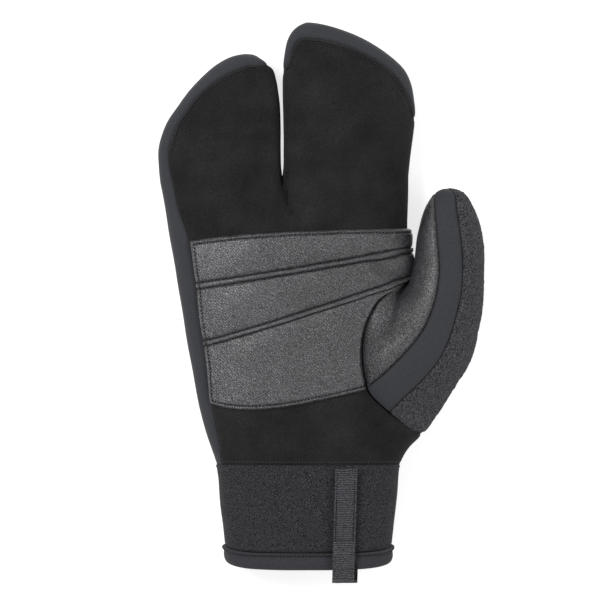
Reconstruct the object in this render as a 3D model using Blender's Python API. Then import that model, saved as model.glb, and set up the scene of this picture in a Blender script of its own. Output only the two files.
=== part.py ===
"""Padded winter glove with two finger pockets and a thumb, right hand, lying on its back.

+Y points to the fingertips, +X to the thumb side and +Z up out of the palm. The panels are cut from
one skin, which is lofted through short tables of sections and pulled apart along the seams.
"""

from collections import defaultdict, namedtuple
from enum import IntEnum
from math import cos, pi, radians, sin

import bmesh
import bpy
import numpy as np

# Hand
HAND_LENGTH = 0.1328
HAND_WIDTH = 0.1163
HAND_DEPTH = 0.0390
PRESSED = 0.0016
CREASE_WIDTH = 0.0055
SEAM_INSET = 0.0047
SEAM_DROP = 0.0030

# Finger pockets
LITTLE_LENGTH = 0.0604
INDEX_LENGTH = 0.0753
FINGER_DEPTH = 0.0310
FINGER_GAP = 0.0024

# Thumb
THUMB_REACH = 0.0437
THUMB_WIDTH = 0.0315
THUMB_DEPTH = 0.0290

# Cuff, hem and pull loop
CUFF_LENGTH = 0.0412
CUFF_TAPER = 0.0044
HEM_LENGTH = 0.0072
HEM_PROUD = 0.0006
LOOP_WIDTH = 0.0103
LOOP_OFFSET = 0.0172
LOOP_DROP = 0.0066
LOOP_EYE = 0.0020
LOOP_OPENING = 0.8

# Walls and clearance
WALL = 0.0024
CUFF_WALL = 0.0025
HEM_WALL = 0.0030
PATCH_WALL = 0.0012
WEBBING_WALL = 0.0011
BAND_HEIGHT = 0.0010
GAP = 0.0003
SEAM_GAP = 0.0005
PATCH_LIFT = 0.0008
PATCH_EDGE = 0.0010
MOUND_EDGE = 0.0031
LOOP_LIFT = 0.0006
LOOP_START = 0.0018

# How round the sections are: 1 is an ellipse, less is boxier
UPPER_ROUND = 0.86
LOWER_ROUND = 0.72
THUMB_ROUND = 0.92
LOWER_CREASE = 0.60

# Mesh steps
HALF_AROUND = 18
WEB_STEPS = 12
HAND_RINGS = 17
LITTLE_RINGS = 12
INDEX_RINGS = 14
THUMB_RINGS = 13
CUFF_RINGS = 5
PATCH_COLUMNS = 14
PATCH_STEPS = 4
LOOP_SEWN_STEPS = 5
LOOP_HEM_STEPS = 3
LOOP_FOLD_STEPS = 7
LOOP_COLUMNS = 4
ARC_SAMPLES = 64
OUTLINE_SAMPLES = 240
BORDER_SAMPLES = 78
OUTLINE_SECTIONS = 25
FINGER_SPACING = 0.90
THUMB_SPACING = 0.95
SNAP = 0.25
MITRE_LIMIT = 0.45
NORMAL_SMOOTHING = 2
SLOPE_STEP = 0.0005
SHARP_DEGREES = 40

# The lines that a skin is cut along
Mark = IntEnum("Mark", "PALM HOLE", start=0)

# along is a share of the hand's length from the cuff seam; left, middle, right of its width;
# depth, crease of its depth; rim, where it is widest, of the depth there; seam of the seam inset
HandRow = namedtuple("HandRow", "along left middle right depth rim crease seam_left seam_right")
HAND_ROWS = (
    HandRow(0.00, -0.370, 0.000, 0.372, 0.95, 0.50, 0.00, 0.44, -0.6),
    HandRow(0.06, -0.389, 0.000, 0.409, 0.97, 0.50, 0.00, 0.75, -0.6),
    HandRow(0.11, -0.409, 0.000, 0.466, 0.99, 0.50, 0.00, 0.95, -0.6),
    HandRow(0.20, -0.439, -0.006, 0.476, 1.00, 0.50, 0.00, 1.15, -0.6),
    HandRow(0.35, -0.470, -0.024, 0.453, 1.00, 0.50, 0.00, 1.45, -0.6),
    HandRow(0.50, -0.502, -0.042, 0.429, 0.99, 0.50, 0.00, 1.60, -0.6),
    HandRow(0.65, -0.530, -0.060, 0.419, 0.97, 0.50, 0.00, 1.80, -0.6),
    HandRow(0.80, -0.559, -0.078, 0.401, 0.94, 0.50, 0.00, 1.80, -0.6),
    HandRow(0.90, -0.579, -0.091, 0.401, 0.92, 0.50, 0.05, 1.30, -0.6),
    HandRow(1.00, -0.597, -0.104, 0.404, 0.89, 0.50, 0.24, 1.10, -0.6),
)

# Edges of a finger pocket: along is a share of the pocket's length past the crotch, and across of
# its width there; middle lies between inner (0) and outer (1); low and high are shares of its depth
FingerRow = namedtuple(
    "FingerRow",
    "outer_along outer inner_along inner middle low high seam_outer seam_inner",
)
LITTLE_ROWS = (
    FingerRow(0.121, 1.012, 0.105, 0.000, 0.20, -0.05, 1.07, 0.95, -0.6),
    FingerRow(0.261, 1.017, 0.261, 0.002, 0.36, -0.05, 1.04, 1.00, -0.6),
    FingerRow(0.373, 0.989, 0.385, 0.000, 0.45, -0.05, 1.02, 1.10, -0.6),
    FingerRow(0.479, 0.938, 0.494, 0.003, 0.50, -0.04, 1.00, 1.00, -0.6),
    FingerRow(0.584, 0.860, 0.595, 0.008, 0.50, -0.02, 0.98, 0.95, -0.6),
    FingerRow(0.712, 0.763, 0.697, 0.019, 0.50, 0.02, 0.95, 1.00, -0.6),
    FingerRow(0.829, 0.640, 0.798, 0.035, 0.50, 0.08, 0.91, 1.15, -0.6),
    FingerRow(0.920, 0.520, 0.887, 0.068, 0.50, 0.17, 0.84, 1.35, -0.3),
    FingerRow(0.974, 0.421, 0.957, 0.154, 0.50, 0.29, 0.74, 1.45, 0.8),
)
LITTLE_TIP = FingerRow(1.0, 0.286, 1.0, 0.286, 0.5, 0.52, 0.52, 1.40, 1.40)
INDEX_ROWS = (
    FingerRow(0.097, 1.010, 0.084, 0.000, 0.20, -0.05, 1.07, -0.6, -0.6),
    FingerRow(0.209, 1.025, 0.209, 0.000, 0.36, -0.05, 1.04, -0.6, -0.6),
    FingerRow(0.315, 1.043, 0.328, -0.003, 0.45, -0.05, 1.02, -0.3, -0.6),
    FingerRow(0.421, 1.057, 0.446, -0.005, 0.50, -0.04, 1.00, 0.1, -0.6),
    FingerRow(0.527, 1.043, 0.552, -0.009, 0.50, -0.03, 0.99, 0.35, -0.6),
    FingerRow(0.621, 1.018, 0.646, -0.010, 0.50, -0.01, 0.97, 0.8, -0.3),
    FingerRow(0.712, 0.958, 0.746, -0.002, 0.50, 0.02, 0.95, 1.0, 0.35),
    FingerRow(0.793, 0.850, 0.827, 0.014, 0.50, 0.07, 0.92, 1.1, 0.5),
    FingerRow(0.868, 0.707, 0.896, 0.037, 0.50, 0.13, 0.87, 1.25, 0.8),
    FingerRow(0.930, 0.555, 0.949, 0.077, 0.50, 0.21, 0.80, 1.4, 1.2),
    FingerRow(0.975, 0.404, 0.986, 0.137, 0.50, 0.32, 0.71, 1.6, 1.6),
)
INDEX_TIP = FingerRow(1.0, 0.245, 1.0, 0.245, 0.5, 0.52, 0.52, 1.7, 1.7)

# Border of the hole that the thumb is sewn into: along is a share of the hand's length; the others
# are shares of the hand's right edge there
HoleRow = namedtuple("HoleRow", "along palm_side back_side")
HOLE_ROWS = (
    HoleRow(0.650, 1.000, 1.000),
    HoleRow(0.620, 0.836, 0.950),
    HoleRow(0.581, 0.677, 0.885),
    HoleRow(0.517, 0.572, 0.806),
    HoleRow(0.464, 0.515, 0.760),
    HoleRow(0.407, 0.486, 0.732),
    HoleRow(0.350, 0.481, 0.728),
    HoleRow(0.304, 0.493, 0.740),
    HoleRow(0.262, 0.510, 0.760),
    HoleRow(0.230, 0.564, 0.784),
    HoleRow(0.182, 0.689, 0.840),
    HoleRow(0.145, 0.795, 0.907),
    HoleRow(0.120, 0.891, 0.966),
    HoleRow(0.106, 1.000, 1.000),
)
LEATHER_FOOT = 0.272
FLEECE_FOOT = 0.182

# Sections of the thumb: places from its crotch, along as a share of its reach and across of its
# width; heights, palm and back bulges of its depth; leans in degrees towards the palm; inner_round
# is how round the inner half is; leather and fleece are their seams' shares of the way over the palm
ThumbRow = namedtuple(
    "ThumbRow",
    "inner_across inner_along inner_rise outer_across outer_along outer_rise "
    "palm palm_lean back back_lean inner_round leather fleece",
)
THUMB_ROWS = (
    ThumbRow(0.024, 0.012, 0.68, 0.425, -1.414, 0.70, 1.14, 44, 0.66, 38, 1.50, 0.62, 0.79),
    ThumbRow(0.046, 0.050, 0.70, 0.679, -1.135, 0.74, 1.03, 38, 0.57, 27, 1.40, 0.60, 0.79),
    ThumbRow(0.062, 0.112, 0.72, 0.933, -0.779, 0.79, 0.86, 33, 0.51, 12, 1.25, 0.57, 0.79),
    ThumbRow(0.072, 0.221, 0.75, 1.045, -0.371, 0.83, 0.70, 28, 0.49, 4, 1.10, 0.53, 0.78),
    ThumbRow(0.080, 0.349, 0.79, 1.080, 0.027, 0.86, 0.60, 20, 0.48, 0, 1.00, 0.46, 0.75),
    ThumbRow(0.104, 0.522, 0.83, 1.075, 0.349, 0.88, 0.54, 13, 0.46, 0, 0.92, 0.38, 0.70),
    ThumbRow(0.164, 0.688, 0.87, 1.015, 0.591, 0.90, 0.47, 8, 0.42, 0, 0.92, 0.32, 0.66),
    ThumbRow(0.239, 0.817, 0.90, 0.903, 0.795, 0.91, 0.37, 5, 0.34, 0, 0.92, 0.25, 0.64),
    ThumbRow(0.324, 0.914, 0.91, 0.784, 0.927, 0.92, 0.24, 0, 0.22, 0, 0.92, 0.16, 0.68),
)
THUMB_TIP = (0.515, 0.991, 0.92)

# Lines across the palm patch, bottom edge first: ends are shares of the hand's length, and sag is
# how far the line hangs below a straight one, as a share of it too; PATCH_RIGHT gives its right
# edge, past the thumb's crotch, as a share of the hand's right edge
PatchRow = namedtuple("PatchRow", "left_along right_along sag")
PATCH_ROWS = (
    PatchRow(0.219, 0.264, 0.040),
    PatchRow(0.418, 0.641, 0.008),
    PatchRow(0.437, 0.667, 0.008),
    PatchRow(0.618, 0.743, 0.003),
    PatchRow(0.640, 0.762, 0.003),
    PatchRow(0.788, 0.834, -0.012),
)
PATCH_BANDS = (1, 3)
BAND_EDGE = 0.2
SAG_SKEW = 0.7
PATCH_RIGHT = ((0.65, 0.885), (0.75, 0.955))

# How far the hem's rows stand out, as shares of the whole, from the cuff down
HEM_PROFILE = (0.5, 1.0, 1.0, 0.3)

# Finishes: linear colour and roughness
FINISHES = {
    "suede": ((0.020, 0.020, 0.022), 0.95),
    "softshell": ((0.055, 0.056, 0.065), 0.80),
    "grained_leather": ((0.090, 0.091, 0.095), 0.45),
    "fleece": ((0.045, 0.045, 0.052), 0.95),
    "neoprene": ((0.034, 0.034, 0.038), 0.85),
    "webbing": ((0.055, 0.055, 0.060), 0.75),
}
PART_FINISH = {
    "palm_panel": "suede",
    "back_panel": "softshell",
    "palm_patch": "grained_leather",
    "thumb_palm": "grained_leather",
    "thumb_gusset": "softshell",
    "thumb_back": "fleece",
    "cuff": "neoprene",
    "cuff_hem": "neoprene",
    "pull_loop": "webbing",
}


def unit(vector):
    return vector / np.linalg.norm(vector)


def unit_rows(vectors):
    lengths = np.linalg.norm(vectors, axis=1, keepdims=True)
    return vectors / np.where(lengths == 0.0, 1.0, lengths)


def lengths_along(path):
    steps = np.linalg.norm(np.diff(path, axis=0), axis=1)
    return np.concatenate([[0.0], np.cumsum(steps)])


def path_point(path, shares):
    """Points at the given shares of a path's length."""
    travelled = lengths_along(path)
    places = np.asarray(shares) * travelled[-1]
    return np.stack([np.interp(places, travelled, path[:, axis]) for axis in range(3)], axis=1)


def spline(knots, values, at):
    """A smooth curve through rows of values."""
    knots, values, at = np.asarray(knots), np.asarray(values), np.asarray(at, dtype=float)
    column = (-1,) + (1,) * (values.ndim - 1)
    steps = np.diff(knots).reshape(column)
    rises = np.diff(values, axis=0) / steps
    middle = (rises[:-1] * steps[1:] + rises[1:] * steps[:-1]) / (steps[:-1] + steps[1:])
    slopes = np.concatenate([rises[:1], middle, rises[-1:]])
    row = np.clip(np.searchsorted(knots, at, side="right") - 1, 0, len(knots) - 2)
    span = (knots[row + 1] - knots[row]).reshape(column)
    t = ((at - knots[row]) / (knots[row + 1] - knots[row])).reshape(column)
    return (
        (1 + 2 * t) * (1 - t) ** 2 * values[row]
        + t * (1 - t) ** 2 * span * slopes[row]
        + t**2 * (3 - 2 * t) * values[row + 1]
        + t**2 * (t - 1) * span * slopes[row + 1]
    )


def arc(centre, crest, edge, roundness, count):
    """A quarter of a section from its crest to its edge, in even steps."""
    turn = np.linspace(0.0, pi / 2, ARC_SAMPLES + 1)[:, None]
    to_crest = np.abs(np.cos(turn)) ** roundness
    to_edge = np.abs(np.sin(turn)) ** roundness
    path = centre + (crest - centre) * to_crest + (edge - centre) * to_edge
    return path_point(path, np.linspace(0.0, 1.0, count + 1))


def ring(centre, top, low, first, second, first_steps, second_steps):
    """A closed section: top, first edge, underside, second edge."""
    quarters = (
        arc(centre, top, first, UPPER_ROUND, first_steps),
        arc(centre, low, first, LOWER_ROUND, first_steps)[::-1],
        arc(centre, low, second, LOWER_ROUND, second_steps),
        arc(centre, top, second, UPPER_ROUND, second_steps)[::-1],
    )
    return np.concatenate([quarter[:-1] for quarter in quarters])


def hand_section(along):
    """The hand's table at a share of its length, in metres."""
    rows = np.array(HAND_ROWS)
    left, middle, right, depth, rim, crease, seam_left, seam_right = spline(
        rows[:, 0], rows[:, 1:], [along]
    )[0]
    return HandRow(
        along * HAND_LENGTH,
        left * HAND_WIDTH,
        middle * HAND_WIDTH,
        right * HAND_WIDTH,
        depth * HAND_DEPTH,
        rim * depth * HAND_DEPTH,
        crease * HAND_DEPTH,
        seam_left * SEAM_INSET,
        seam_right * SEAM_INSET,
    )


def crease_dip(section, x):
    return section.crease * np.exp(-(((x - section.middle) / CREASE_WIDTH) ** 2))


def hand_ring(along):
    section = hand_section(along)
    y = section.along
    points = ring(
        np.array([section.middle, y, section.rim]),
        np.array([section.middle, y, section.depth]),
        np.array([section.middle, y, -PRESSED]),
        np.array([section.right, y, section.rim]),
        np.array([section.left, y, section.rim]),
        HALF_AROUND // 2,
        HALF_AROUND // 2,
    )
    dip = crease_dip(section, points[:, 0])
    points[:, 2] += np.where(points[:, 2] > section.rim, -dip, LOWER_CREASE * dip)
    points[:, 2] = np.maximum(points[:, 2], 0.0)
    return points


def palm_height(x, y):
    """Height of the hand's palm side over a place in plan."""
    section = hand_section(y / HAND_LENGTH)
    edge = section.right if x > section.middle else section.left
    out = min(abs((x - section.middle) / (edge - section.middle)), 1.0)
    rise = (1.0 - out ** (2 / UPPER_ROUND)) ** (UPPER_ROUND / 2)
    return section.rim + (section.depth - section.rim) * rise - crease_dip(section, x)


def finger_edges(row, length, width, side):
    """Inner and outer edge of a finger pocket in plan; side is -1 on the little finger's."""
    crotch = hand_section(1.0)
    inner_x = crotch.middle + side * (FINGER_GAP / 2 + row.inner * width)
    outer_x = crotch.middle + side * row.outer * width
    inner = np.array([inner_x, crotch.along + row.inner_along * length, 0.0])
    outer = np.array([outer_x, crotch.along + row.outer_along * length, 0.0])
    return inner, outer


def finger_ring(row, length, width, side):
    inner, outer = finger_edges(row, length, width, side)
    middle = inner + (outer - inner) * row.middle
    low, high = row.low * FINGER_DEPTH, row.high * FINGER_DEPTH
    up = np.array([0.0, 0.0, 1.0])
    rim = (low + high) / 2 * up
    inner_steps, outer_steps = WEB_STEPS // 2, HALF_AROUND // 2
    ends = (middle + rim, middle + high * up, middle + low * up)
    if side > 0:
        return ring(*ends, outer + rim, inner + rim, outer_steps, inner_steps)
    return ring(*ends, inner + rim, outer + rim, inner_steps, outer_steps)


def distances_to(points, start, run):
    """Each point's distance in plan to each straight run, and its share of the way along it."""
    to_point = points[:, None, :] - start
    share = np.clip((to_point * run).sum(2) / (run**2).sum(1), 0.0, 1.0)
    return np.linalg.norm(to_point - share[:, :, None] * run, axis=2), share


def signed_distance(points, outline):
    """Distance in plan to a closed outline, positive inside."""
    start, end = outline, np.roll(outline, -1, axis=0)
    run = end - start
    distance = distances_to(points, start, run)[0].min(axis=1)
    above = (start[:, 1] > points[:, 1:]) != (end[:, 1] > points[:, 1:])
    height = np.where(run[:, 1] == 0.0, 1.0, run[:, 1])
    crossing = start[:, 0] + (points[:, 1:] - start[:, 1]) * run[:, 0] / height
    inside = (above & (points[:, :1] < crossing)).sum(axis=1) % 2 == 1
    return np.where(inside, distance, -distance)


def outline_inset(points, outline, insets):
    """Distance in plan to an open outline, less the seam's inset from its nearest place."""
    distance, shares = distances_to(points, outline[:-1], np.diff(outline, axis=0))
    nearest = distance.argmin(axis=1)
    each = np.arange(len(points))
    share = shares[each, nearest]
    inset = insets[nearest] * (1 - share) + insets[nearest + 1] * share
    return distance[each, nearest] - inset


class Skin:
    """Points, each with its section's rim height and its marks for the cuts, and faces."""

    def __init__(self):
        self.points = []
        self.rims = []
        self.marks = []
        self.faces = []

    def add(self, points, rim=0.0):
        first = len(self.points)
        self.points.extend(np.array(point) for point in points)
        self.rims.extend([rim] * len(points))
        return list(range(first, len(self.points)))

    def band(self, lower, upper):
        """Faces between two closed rows of points."""
        for i, j in zip(range(len(lower)), list(range(1, len(lower))) + [0]):
            self.faces.append([lower[i], lower[j], upper[j], upper[i]])

    def cap(self, last, tip):
        for i, j in zip(range(len(last)), list(range(1, len(last))) + [0]):
            self.faces.append([last[i], last[j], tip])

    def edges(self):
        found = set()
        for face in self.faces:
            for a, b in zip(face, face[1:] + face[:1]):
                found.add((min(a, b), max(a, b)))
        return sorted(found)

    def snap(self, mark, kept):
        """Slides points that lie close to the line of a mark onto it."""
        best = {}
        for edge in self.edges():
            for a, b in (edge, edge[::-1]):
                from_a, from_b = self.marks[a][mark], self.marks[b][mark]
                if from_a * from_b >= 0 or (a in kept and b not in kept):
                    continue
                t = from_a / (from_a - from_b)
                if t < SNAP and t < best.get(a, (1.0, b))[0]:
                    best[a] = (t, b)
        moved = {
            a: (
                self.points[a] + (self.points[b] - self.points[a]) * t,
                self.marks[a] + (self.marks[b] - self.marks[a]) * t,
            )
            for a, (t, b) in best.items()
        }
        for a, (point, marks) in moved.items():
            marks[mark] = 0.0
            self.points[a], self.marks[a] = point, marks

    def cut(self, mark, kept):
        """Cuts the faces along the line where a mark is zero."""
        self.snap(mark, kept)
        halfway = {}
        faces = []
        for face in self.faces:
            signs = [np.sign(self.marks[i][mark]) for i in face]
            if 1 not in signs or -1 not in signs:
                faces.append(face)
                continue
            for k in range(1, len(face) - 1):
                faces.extend(self.cut_triangle([face[0], face[k], face[k + 1]], mark, halfway))
        self.faces = faces

    def cut_triangle(self, triangle, mark, halfway):
        loop = []
        for a, b in zip(triangle, triangle[1:] + triangle[:1]):
            loop.append(a)
            from_a, from_b = self.marks[a][mark], self.marks[b][mark]
            if from_a * from_b < 0:
                key = (min(a, b), max(a, b))
                if key not in halfway:
                    t = from_a / (from_a - from_b)
                    (halfway[key],) = self.add([self.points[a] * (1 - t) + self.points[b] * t])
                    self.marks.append(self.marks[a] * (1 - t) + self.marks[b] * t)
                    self.marks[-1][mark] = 0.0
                loop.append(halfway[key])
        for sign in (1, -1):
            piece = [i for i in loop if self.marks[i][mark] * sign >= 0]
            if len(piece) > 2 and any(self.marks[i][mark] * sign > 0 for i in piece):
                yield piece

    def is_inside(self, face, mark):
        return sum(self.marks[i][mark] for i in face) > 0


def finger_pocket(skin, hand_top, rows, tip, length, width, side, rings, web):
    """Adds one finger pocket above the hand's last ring; returns its rings' edge heights."""
    half = HALF_AROUND
    if side > 0:
        foot = hand_top[: half + 1] + web[::-1]
    else:
        foot = [hand_top[0]] + web + hand_top[half:]
    sections = [finger_ring(row, length, width, side) for row in rows]
    first = np.array([skin.points[i] for i in foot])
    below = first - (hand_ring(1.0) - hand_ring(1.0 - 1.0 / HAND_RINGS)).mean(axis=0)
    crotch = hand_section(1.0)
    mirrored = sections[0].copy()
    mirrored[:, 0] = 2 * crotch.middle - mirrored[:, 0]
    in_web = [k for k, i in enumerate(foot) if i in web]
    below[in_web] = mirrored[in_web]
    inner, _ = finger_edges(tip, length, width, side)
    pole = inner + np.array([-side * FINGER_GAP / 2, 0.0, tip.high * FINGER_DEPTH])
    last = sections[-1]
    beyond = 2 * last.mean(axis=0) - last
    stack = np.array([below, first, *sections, np.tile(pole, (len(first), 1)), beyond])
    travel = np.linalg.norm(np.diff(stack, axis=0), axis=2).mean(axis=1)
    knots = np.concatenate([[0.0], np.cumsum(travel)])
    even = np.sin(np.linspace(0.0, pi / 2, rings + 1)) ** FINGER_SPACING
    places = knots[1] + (knots[-2] - knots[1]) * even
    lofted = spline(knots, stack, places[1:-1])
    lofted[:, :, 2] = np.maximum(lofted[:, :, 2], 0.0)
    rim_places = [half // 2, half + WEB_STEPS // 2]
    if side < 0:
        rim_places = [WEB_STEPS // 2, WEB_STEPS + half // 2]
    previous = foot
    for section in lofted:
        row = skin.add(section, section[rim_places, 2].mean())
        skin.band(previous, row)
        previous = row
    (top,) = skin.add([pole], pole[2])
    skin.cap(previous, top)


def outline_and_seams():
    """The glove's outline in plan, without the thumb, and the seam's inset at each of its points."""
    points, insets = [], []
    hand = [hand_section(along) for along in np.linspace(0.0, 1.0, OUTLINE_SECTIONS)]
    crotch = hand[-1]
    fingers = (
        (LITTLE_ROWS, LITTLE_TIP, LITTLE_LENGTH, crotch.middle - crotch.left, -1),
        (INDEX_ROWS, INDEX_TIP, INDEX_LENGTH, crotch.right - crotch.middle, 1),
    )
    for section in hand:
        points.append((section.left, section.along))
        insets.append(section.seam_left)
    for rows, tip, length, width, side in fingers:
        edges = [(finger_edges(row, length, width, side), row) for row in rows]
        outer = [(edge[1][:2], row.seam_outer * SEAM_INSET) for edge, row in edges]
        inner = [(edge[0][:2], row.seam_inner * SEAM_INSET) for edge, row in edges]
        pole = finger_edges(tip, length, width, side)[0][:2]
        chain = outer + [(pole, tip.seam_outer * SEAM_INSET)] + inner[::-1]
        for point, inset in chain if side < 0 else chain[::-1]:
            points.append(tuple(point))
            insets.append(inset)
    for section in hand[::-1]:
        points.append((section.right, section.along))
        insets.append(section.seam_right)
    outline, insets = np.array(points), np.array(insets)
    travelled = lengths_along(outline)
    even = np.linspace(0.0, travelled[-1], OUTLINE_SAMPLES)
    return spline(travelled, outline, even), np.interp(even, travelled, insets)


def hole_border(column):
    """One side of the thumb's hole in plan, from the thumb's crotch down."""
    rows = np.array(HOLE_ROWS)
    places = np.linspace(0, len(rows) - 1, BORDER_SAMPLES + 1)
    fine = spline(np.arange(len(rows)), rows[:, [0, column]], places)
    return np.array([(share * hand_section(along).right, along * HAND_LENGTH) for along, share in fine])


def hand_skin():
    """Skin of the hand and both finger pockets, with its marks; returns it and its wrist row."""
    skin = Skin()
    previous = wrist = skin.add(hand_ring(0.0), hand_section(0.0).rim)
    for along in np.linspace(0.0, 1.0, HAND_RINGS + 1)[1:]:
        row = skin.add(hand_ring(along), hand_section(along).rim)
        skin.band(previous, row)
        previous = row
    crotch = hand_section(1.0)
    top, low = skin.points[previous[0]], skin.points[previous[HALF_AROUND]]
    steps = np.linspace(0.0, 1.0, WEB_STEPS + 1)[1:-1, None]
    web = skin.add(top * (1 - steps) + low * steps, crotch.rim)
    little_width, index_width = crotch.middle - crotch.left, crotch.right - crotch.middle
    finger_pocket(
        skin, previous, LITTLE_ROWS, LITTLE_TIP, LITTLE_LENGTH, little_width, -1, LITTLE_RINGS, web
    )
    finger_pocket(
        skin, previous, INDEX_ROWS, INDEX_TIP, INDEX_LENGTH, index_width, 1, INDEX_RINGS, web
    )
    mark_skin(skin)
    return skin, wrist


def mark_skin(skin):
    """Marks each point: positive on the palm panel, and positive inside the thumb's hole."""
    points = np.array(skin.points)
    plan, rise = points[:, :2], points[:, 2] - np.array(skin.rims)
    outline, insets = outline_and_seams()
    palm = np.minimum(outline_inset(plan, outline, insets), rise + SEAM_DROP)
    holes = []
    for column in (1, 2):
        border = hole_border(column)
        far = border[-1, 0] + HAND_WIDTH
        corners = [(far, border[-1, 1]), (far, border[0, 1])]
        holes.append(signed_distance(plan, np.concatenate([border, corners])))
    hole = np.where(rise >= 0, holes[0], holes[1])
    skin.marks = list(np.stack([palm, hole], axis=1))


def hole_loop(skin):
    """The points round the thumb's hole: crotch, palm side, notch, back side."""
    edges = {(a, b) for face in skin.faces for a, b in zip(face, face[1:] + face[:1])}
    before = {
        b: a
        for a, b in edges
        if (b, a) not in edges and skin.marks[a][Mark.HOLE] == 0 and skin.marks[b][Mark.HOLE] == 0
    }
    loop = [max(before, key=lambda i: skin.points[i][1])]
    while before[loop[-1]] != loop[0]:
        loop.append(before[loop[-1]])
    return loop


def thumb_paths(row, crotch):
    """Palm side and back of one section of the thumb, from its inner to its outer edge."""
    inner = crotch + (row.inner_across * THUMB_WIDTH, row.inner_along * THUMB_REACH, 0.0)
    outer = crotch + (row.outer_across * THUMB_WIDTH, row.outer_along * THUMB_REACH, 0.0)
    inner[2], outer[2] = row.inner_rise * THUMB_DEPTH, row.outer_rise * THUMB_DEPTH
    across = unit(outer - inner)
    palmward = unit(np.array([across[1], -across[0], 0.0]))
    up = np.array([0.0, 0.0, 1.0])
    centre = (inner + outer) / 2
    paths = []
    for bulge, lean, sign in ((row.palm, row.palm_lean, 1), (row.back, row.back_lean, -1)):
        away = sign * cos(radians(lean)) * up + sin(radians(lean)) * palmward
        away = unit(away - across * away.dot(across))
        crest = centre + away * bulge * THUMB_DEPTH
        inner_half = arc(centre, crest, inner, row.inner_round, HALF_AROUND)
        outer_half = arc(centre, crest, outer, THUMB_ROUND, HALF_AROUND)
        paths.append(np.concatenate([inner_half[::-1], outer_half[1:]]))
    return paths


def seat_foot(skin, palm_side, foot):
    """Slides the nearest point on the hole's palm side to the foot of a seam; returns its place."""
    points = np.array([skin.points[i] for i in palm_side])[::-1]
    y = foot * HAND_LENGTH
    place = len(palm_side) - 2 - int(np.abs(points[1:-1, 1] - y).argmin())
    skin.points[palm_side[place]] = np.array([
        np.interp(y, points[:, 1], points[:, axis]) for axis in range(3)
    ])
    return place


def thumb_panels(skin, loop):
    """Lofts the thumb out of its hole; returns its faces, by panel."""
    notch = min(range(len(loop)), key=lambda k: skin.points[loop[k]][1])
    feet = [seat_foot(skin, loop[: notch + 1], foot) for foot in (LEATHER_FOOT, FLEECE_FOOT)]
    points = np.array([skin.points[i] for i in loop])
    palm_share = lengths_along(points[: notch + 1])
    palm_share /= palm_share[-1]
    back_share = lengths_along(np.concatenate([points[notch:], points[:1]]))
    back_share = 1 - back_share[:-1] / back_share[-1]
    crotch = np.array([points[0][0], points[0][1], 0.0])
    rows = [points]
    for row in THUMB_ROWS:
        palm_path, back_path = thumb_paths(row, crotch)
        anchors = [0.0, palm_share[feet[0]], palm_share[feet[1]], 1.0]
        shares = np.interp(palm_share, anchors, [0.0, row.leather, row.fleece, 1.0])
        rows.append(
            np.concatenate([path_point(palm_path, shares), path_point(back_path, back_share[1:])])
        )
    across, along, rise = THUMB_TIP
    tip = crotch + (across * THUMB_WIDTH, along * THUMB_REACH, rise * THUMB_DEPTH)
    beyond = 2 * rows[-1].mean(axis=0) - rows[-1]
    stack = np.array([*rows, np.tile(tip, (len(loop), 1)), beyond])
    travel = np.linalg.norm(np.diff(stack, axis=0), axis=2).mean(axis=1)
    knots = np.concatenate([[0.0], np.cumsum(travel)])
    places = knots[-2] * np.sin(np.linspace(0.0, pi / 2, THUMB_RINGS + 1)) ** THUMB_SPACING
    panels = defaultdict(list)
    previous = loop
    closing = knots[-3]
    for place, section in zip(places[1:-1], spline(knots, stack, places[1:-1])):
        row = skin.add(section)
        for i, j in zip(range(len(loop)), list(range(1, len(loop))) + [0]):
            panel = "thumb_back"
            if j and j <= feet[0]:
                panel = "thumb_palm" if place <= closing else "thumb_gusset"
            elif j and j <= feet[1]:
                panel = "thumb_gusset"
            panels[panel].append([previous[i], previous[j], row[j], row[i]])
        previous = row
    (top,) = skin.add([tip])
    for i, j in zip(range(len(loop)), list(range(1, len(loop))) + [0]):
        panel = "thumb_gusset" if j and j <= feet[1] else "thumb_back"
        panels[panel].append([previous[i], previous[j], top])
    return panels


def area_vector(points, face):
    corners = points[face]
    return np.cross(corners, np.roll(corners, -1, axis=0)).sum(axis=0) / 2


def point_normals(points, faces):
    normals = np.zeros_like(points)
    for face in faces:
        normals[face] += area_vector(points, face)
    normals = unit_rows(normals)
    for _ in range(NORMAL_SMOOTHING):
        spread = np.zeros_like(normals)
        for face in faces:
            spread[face] += unit(normals[face].sum(axis=0))
        normals = unit_rows(spread)
    return normals


def wall_mesh(points, normals, faces, wall, pull, open_rows=()):
    """A closed wall under some of a skin's faces, its border pulled back from its neighbours."""
    edges = {(a, b): face for face in faces for a, b in zip(face, face[1:] + face[:1])}
    border = [edge for edge in edges if edge[::-1] not in edges]
    inward = defaultdict(list)
    for a, b in border:
        if a in open_rows and b in open_rows:
            continue
        face_normal = unit(area_vector(points, np.array(edges[a, b])))
        into = unit(np.cross(face_normal, unit(points[b] - points[a])))
        inward[a].append(into)
        inward[b].append(into)
    shift = np.zeros_like(points)
    for i, directions in inward.items():
        middle = unit(sum(directions))
        shift[i] = middle * pull / max(middle.dot(directions[0]), MITRE_LIMIT)
        if i in open_rows:
            shift[i][1] = 0.0
    used = sorted({i for face in faces for i in face})
    place = {i: k for k, i in enumerate(used)}
    count = len(used)
    outer = points[used] + shift[used]
    inner = outer - normals[used] * wall
    quads = [[place[i] for i in face] for face in faces]
    quads += [[place[i] + count for i in face[::-1]] for face in faces]
    quads += [[place[b], place[a], place[a] + count, place[b] + count] for a, b in border]
    return np.concatenate([outer, inner]), quads


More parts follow.
